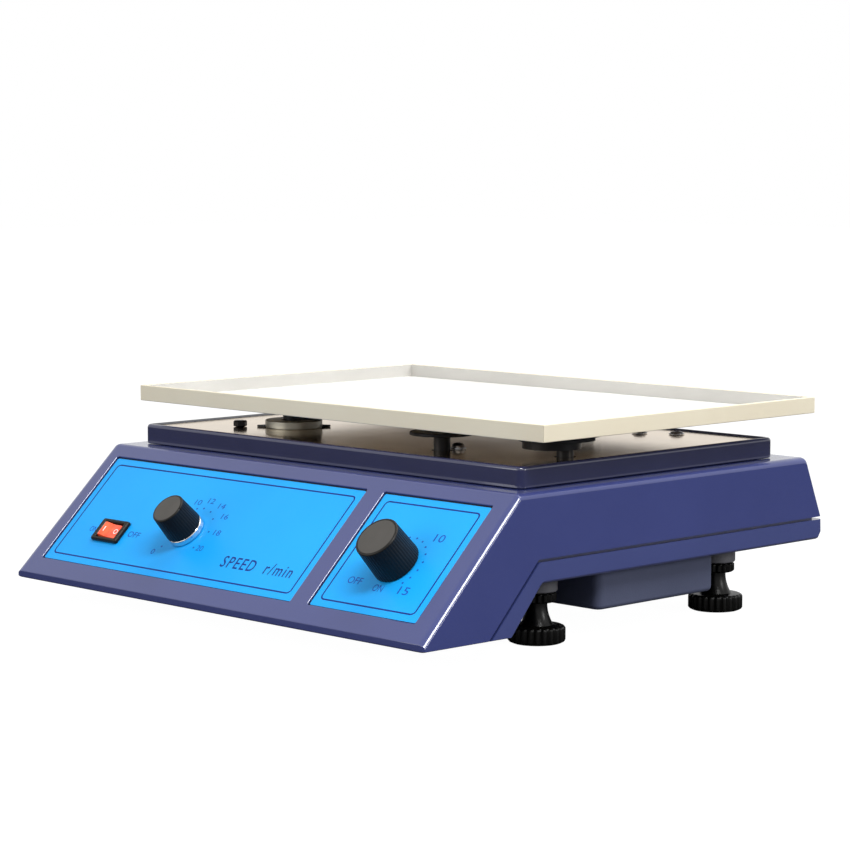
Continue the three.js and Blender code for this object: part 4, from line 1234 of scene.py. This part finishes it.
def drive_hub():
    """The driven bearing housing: two black pointed ears on the deck and a turned hub between them."""
    place = joint_point("drive_crank_turn")
    low, high = box_mm("drive_bearing_housing")
    corners = [(EAR_REACH, 0), (0, EAR_HALF_WIDTH), (-EAR_REACH, 0), (0, -EAR_HALF_WIDTH)]
    outline = rounded(corners, [0.3, 3, 0.3, 3], 5)
    turn = Matrix.Translation((place.x, place.y, 0)) @ Matrix.Rotation(EAR_TURN, 4, "Z")
    ears = as_object("drive_ears", slab(outline, DECK_TOP + 0.05, DECK_TOP + 1.2, 0.3), HOUSING @ turn)
    around_hub = HUB_RADIUS + 0.1
    middle = turned([(around_hub, DECK_TOP - 3), (around_hub, DECK_TOP + 6)], 0, 0, 96)
    carve(ears, *cuts(HOUSING @ turn, middle))
    piece("drive_ears", ears, "black_steel", stands_for=["drive_bearing_housing"])
    section = rounded(
        [
            (HUB_BORE, low.z),
            (HUB_BARREL, low.z),
            (HUB_BARREL, DECK_TOP + GAP),
            (HUB_RADIUS, DECK_TOP + GAP),
            (HUB_RADIUS, high.z),
            (HUB_MOUTH, high.z),
            (HUB_MOUTH, high.z - 1.6),
            (HUB_BORE, high.z - 1.6),
        ],
        [0.3, 0.5, 0.1, 0.1, 0.7, 0.4, 0.3, 0.3],
        3,
    )
    hub = turned(section, place.x, place.y, 96, closed=True)
    piece("drive_hub_turned", hub, "aluminium", stands_for=["drive_bearing_housing"])


REFINED = {
    "drive_crank": ("black_steel", 0.3),
    "driven_pulley": ("aluminium", 0.3),
    "drive_pin_bearing": ("black_steel", 0.2),
    "drive_bearing_lower": ("steel", 0.3),
    "drive_bearing_upper": ("steel", 0.3),
    "motor": ("steel", 0.6),
    "motor_bracket": ("steel", 0.4),
    "motor_pulley": ("aluminium", 0.3),
    "drive_belt": ("belt_rubber", 0.2),
    "transformer": ("winding_tape", 0.5),
    "control_board": ("board", 0.2),
    "speed_potentiometer": ("grey_plastic", 0.3),
    "timer_movement": ("grey_plastic", 0.3),
    "speed_spindle": ("steel", 0.2),
    "timer_spindle": ("steel", 0.2),
    "mains_inlet": ("black_plastic", 0.3),
}
IDLER_REFINED = {
    "_idler_housing": ("aluminium", 0.3),
    "_idler_bearing": ("steel", 0.3),
    "_idler_crank": ("black_steel", 0.25),
    "_pin_bearing": ("black_steel", 0.2),
}


def refined_nodes():
    """The nodes that keep their CAD meshes."""
    for node, look in REFINED.items():
        refine(node, *look)
    for place in IDLERS:
        for ending, look in IDLER_REFINED.items():
            refine(place + ending, *look)


# ---------- studio ----------
CAMERA_PLACE = (1.07681, -1.04772, 0.2534)
CAMERA_DIP = 5.85  # degrees below the horizontal
CAMERA_HEADING = 45.66
CAMERA_LENS = 114.2
FLOOR_SIZE = 6
FLOOR_DROP = 0.0002  # keeps the soles of the feet clear of the floor
# A light's name, place, size, power and the direction of its long side.
LIGHTS = [
    ("key", (0.89, -0.45, 1.22), (0.9, 0.26), 15, (0.786, 0.429, -0.445)),
    ("top", (0.3, 0.6, 1.5), (1.2, 1.0), 15, (1, 0, 0)),
    ("front", (-0.6, -1.8, 0.55), (1.6, 0.9), 11, (1, 0, 0)),
    ("side", (1.9, 0.7, 0.6), (0.6, 0.35), 9, (1, 0, 0)),
]
AIM = Vector((0, 0, 0.08))  # the lights face this point


def camera():
    data = bpy.data.cameras.new("camera")
    data.sensor_width = 36
    data.lens = CAMERA_LENS
    data.clip_end = 50
    cam = bpy.data.objects.new("camera", data)
    cam.location = CAMERA_PLACE
    cam.rotation_euler = (math.radians(90 - CAMERA_DIP), 0, math.radians(CAMERA_HEADING))
    bpy.context.scene.collection.objects.link(cam)
    bpy.context.scene.camera = cam


def softbox(name, location, size, power, along):
    """A rectangular light that faces the object, its long side along a direction."""
    data = bpy.data.lights.new(name, "AREA")
    data.shape = "RECTANGLE"
    data.size, data.size_y = size
    data.energy = power
    light = bpy.data.objects.new(name, data)
    back = (Vector(location) - AIM).normalized()
    side = (Vector(along) - Vector(along).dot(back) * back).normalized()
    axes = Matrix((side, back.cross(side), back)).transposed()
    light.matrix_world = Matrix.Translation(location) @ axes.to_4x4()
    bpy.context.scene.collection.objects.link(light)


def seen_and_lit(tree, seen, glossy, lit):
    """A strength for camera rays, another for mirrored rays and another for all other light."""
    path = tree.nodes.new("ShaderNodeLightPath")
    level = None
    for socket, value in (("Is Glossy Ray", glossy), ("Is Camera Ray", seen)):
        mix = tree.nodes.new("ShaderNodeMix")
        tree.links.new(path.outputs[socket], mix.inputs["Factor"])
        mix.inputs["A"].default_value = lit
        mix.inputs["B"].default_value = value
        if level:
            tree.links.new(level, mix.inputs["A"])
        level = mix.outputs["Result"]
    return level


def studio():
    scene = bpy.context.scene
    scene.view_settings.view_transform = "Standard"
    world = bpy.data.worlds.new("studio")
    world.use_nodes = True
    background = world.node_tree.nodes["Background"]
    background.inputs["Color"].default_value = (1, 1, 1, 1)
    strength = seen_and_lit(world.node_tree, 1.0, 0.9, 0.36)
    world.node_tree.links.new(strength, background.inputs["Strength"])
    scene.world = world

    mesh = bmesh.new()
    bmesh.ops.create_grid(mesh, x_segments=8, y_segments=8, size=FLOOR_SIZE)
    floor = as_object("floor", mesh, Matrix.Translation((0, 0, -FLOOR_DROP)))
    n = Nodes("studio_floor")
    n.shades(n.noise(2, 2), "#5a5a5c", "#606062")
    n.set(Roughness=0.9, Emission_Color=(1, 1, 1, 1), Specular_IOR_Level=0.0)
    n.link(n.ramp(n.add("NewGeometry").outputs["Backfacing"], 1, 0), "Alpha")
    n.link(seen_and_lit(n.tree, 0.985, 0.0, 0.0), "Emission Strength")
    floor.data.materials.append(n.material)

    for light in LIGHTS:
        softbox(*light)


def build():
    camera()
    studio()
    upper_cover()
    lower_shell()
    underside_box()
    rim()
    deck_sheet()
    deck_bolt("deck_bolt_left")
    for name in SCREWS[1:]:
        deck_screw(name)
    platform()
    holes = controls_holes()
    panel_film("speed", [holes[0], holes[2]])
    panel_film("timer", [holes[1]])
    panel_print()
    knob("speed_knob", "speed_knob_turn", FILM_TOP + 3.7, FILM_TOP + 19.8, 10.7, 9.6, 40, 7)
    knob("timer_knob", "timer_knob_turn", FILM_TOP + 0.3, FILM_TOP + 20.6, 12.9, 12.2, 48, 180)
    speed_skirt()
    switch_bezel()
    rocker()
    for name, place in foot_places().items():
        foot(name, place)
    drive_hub()
    refined_nodes()


build()
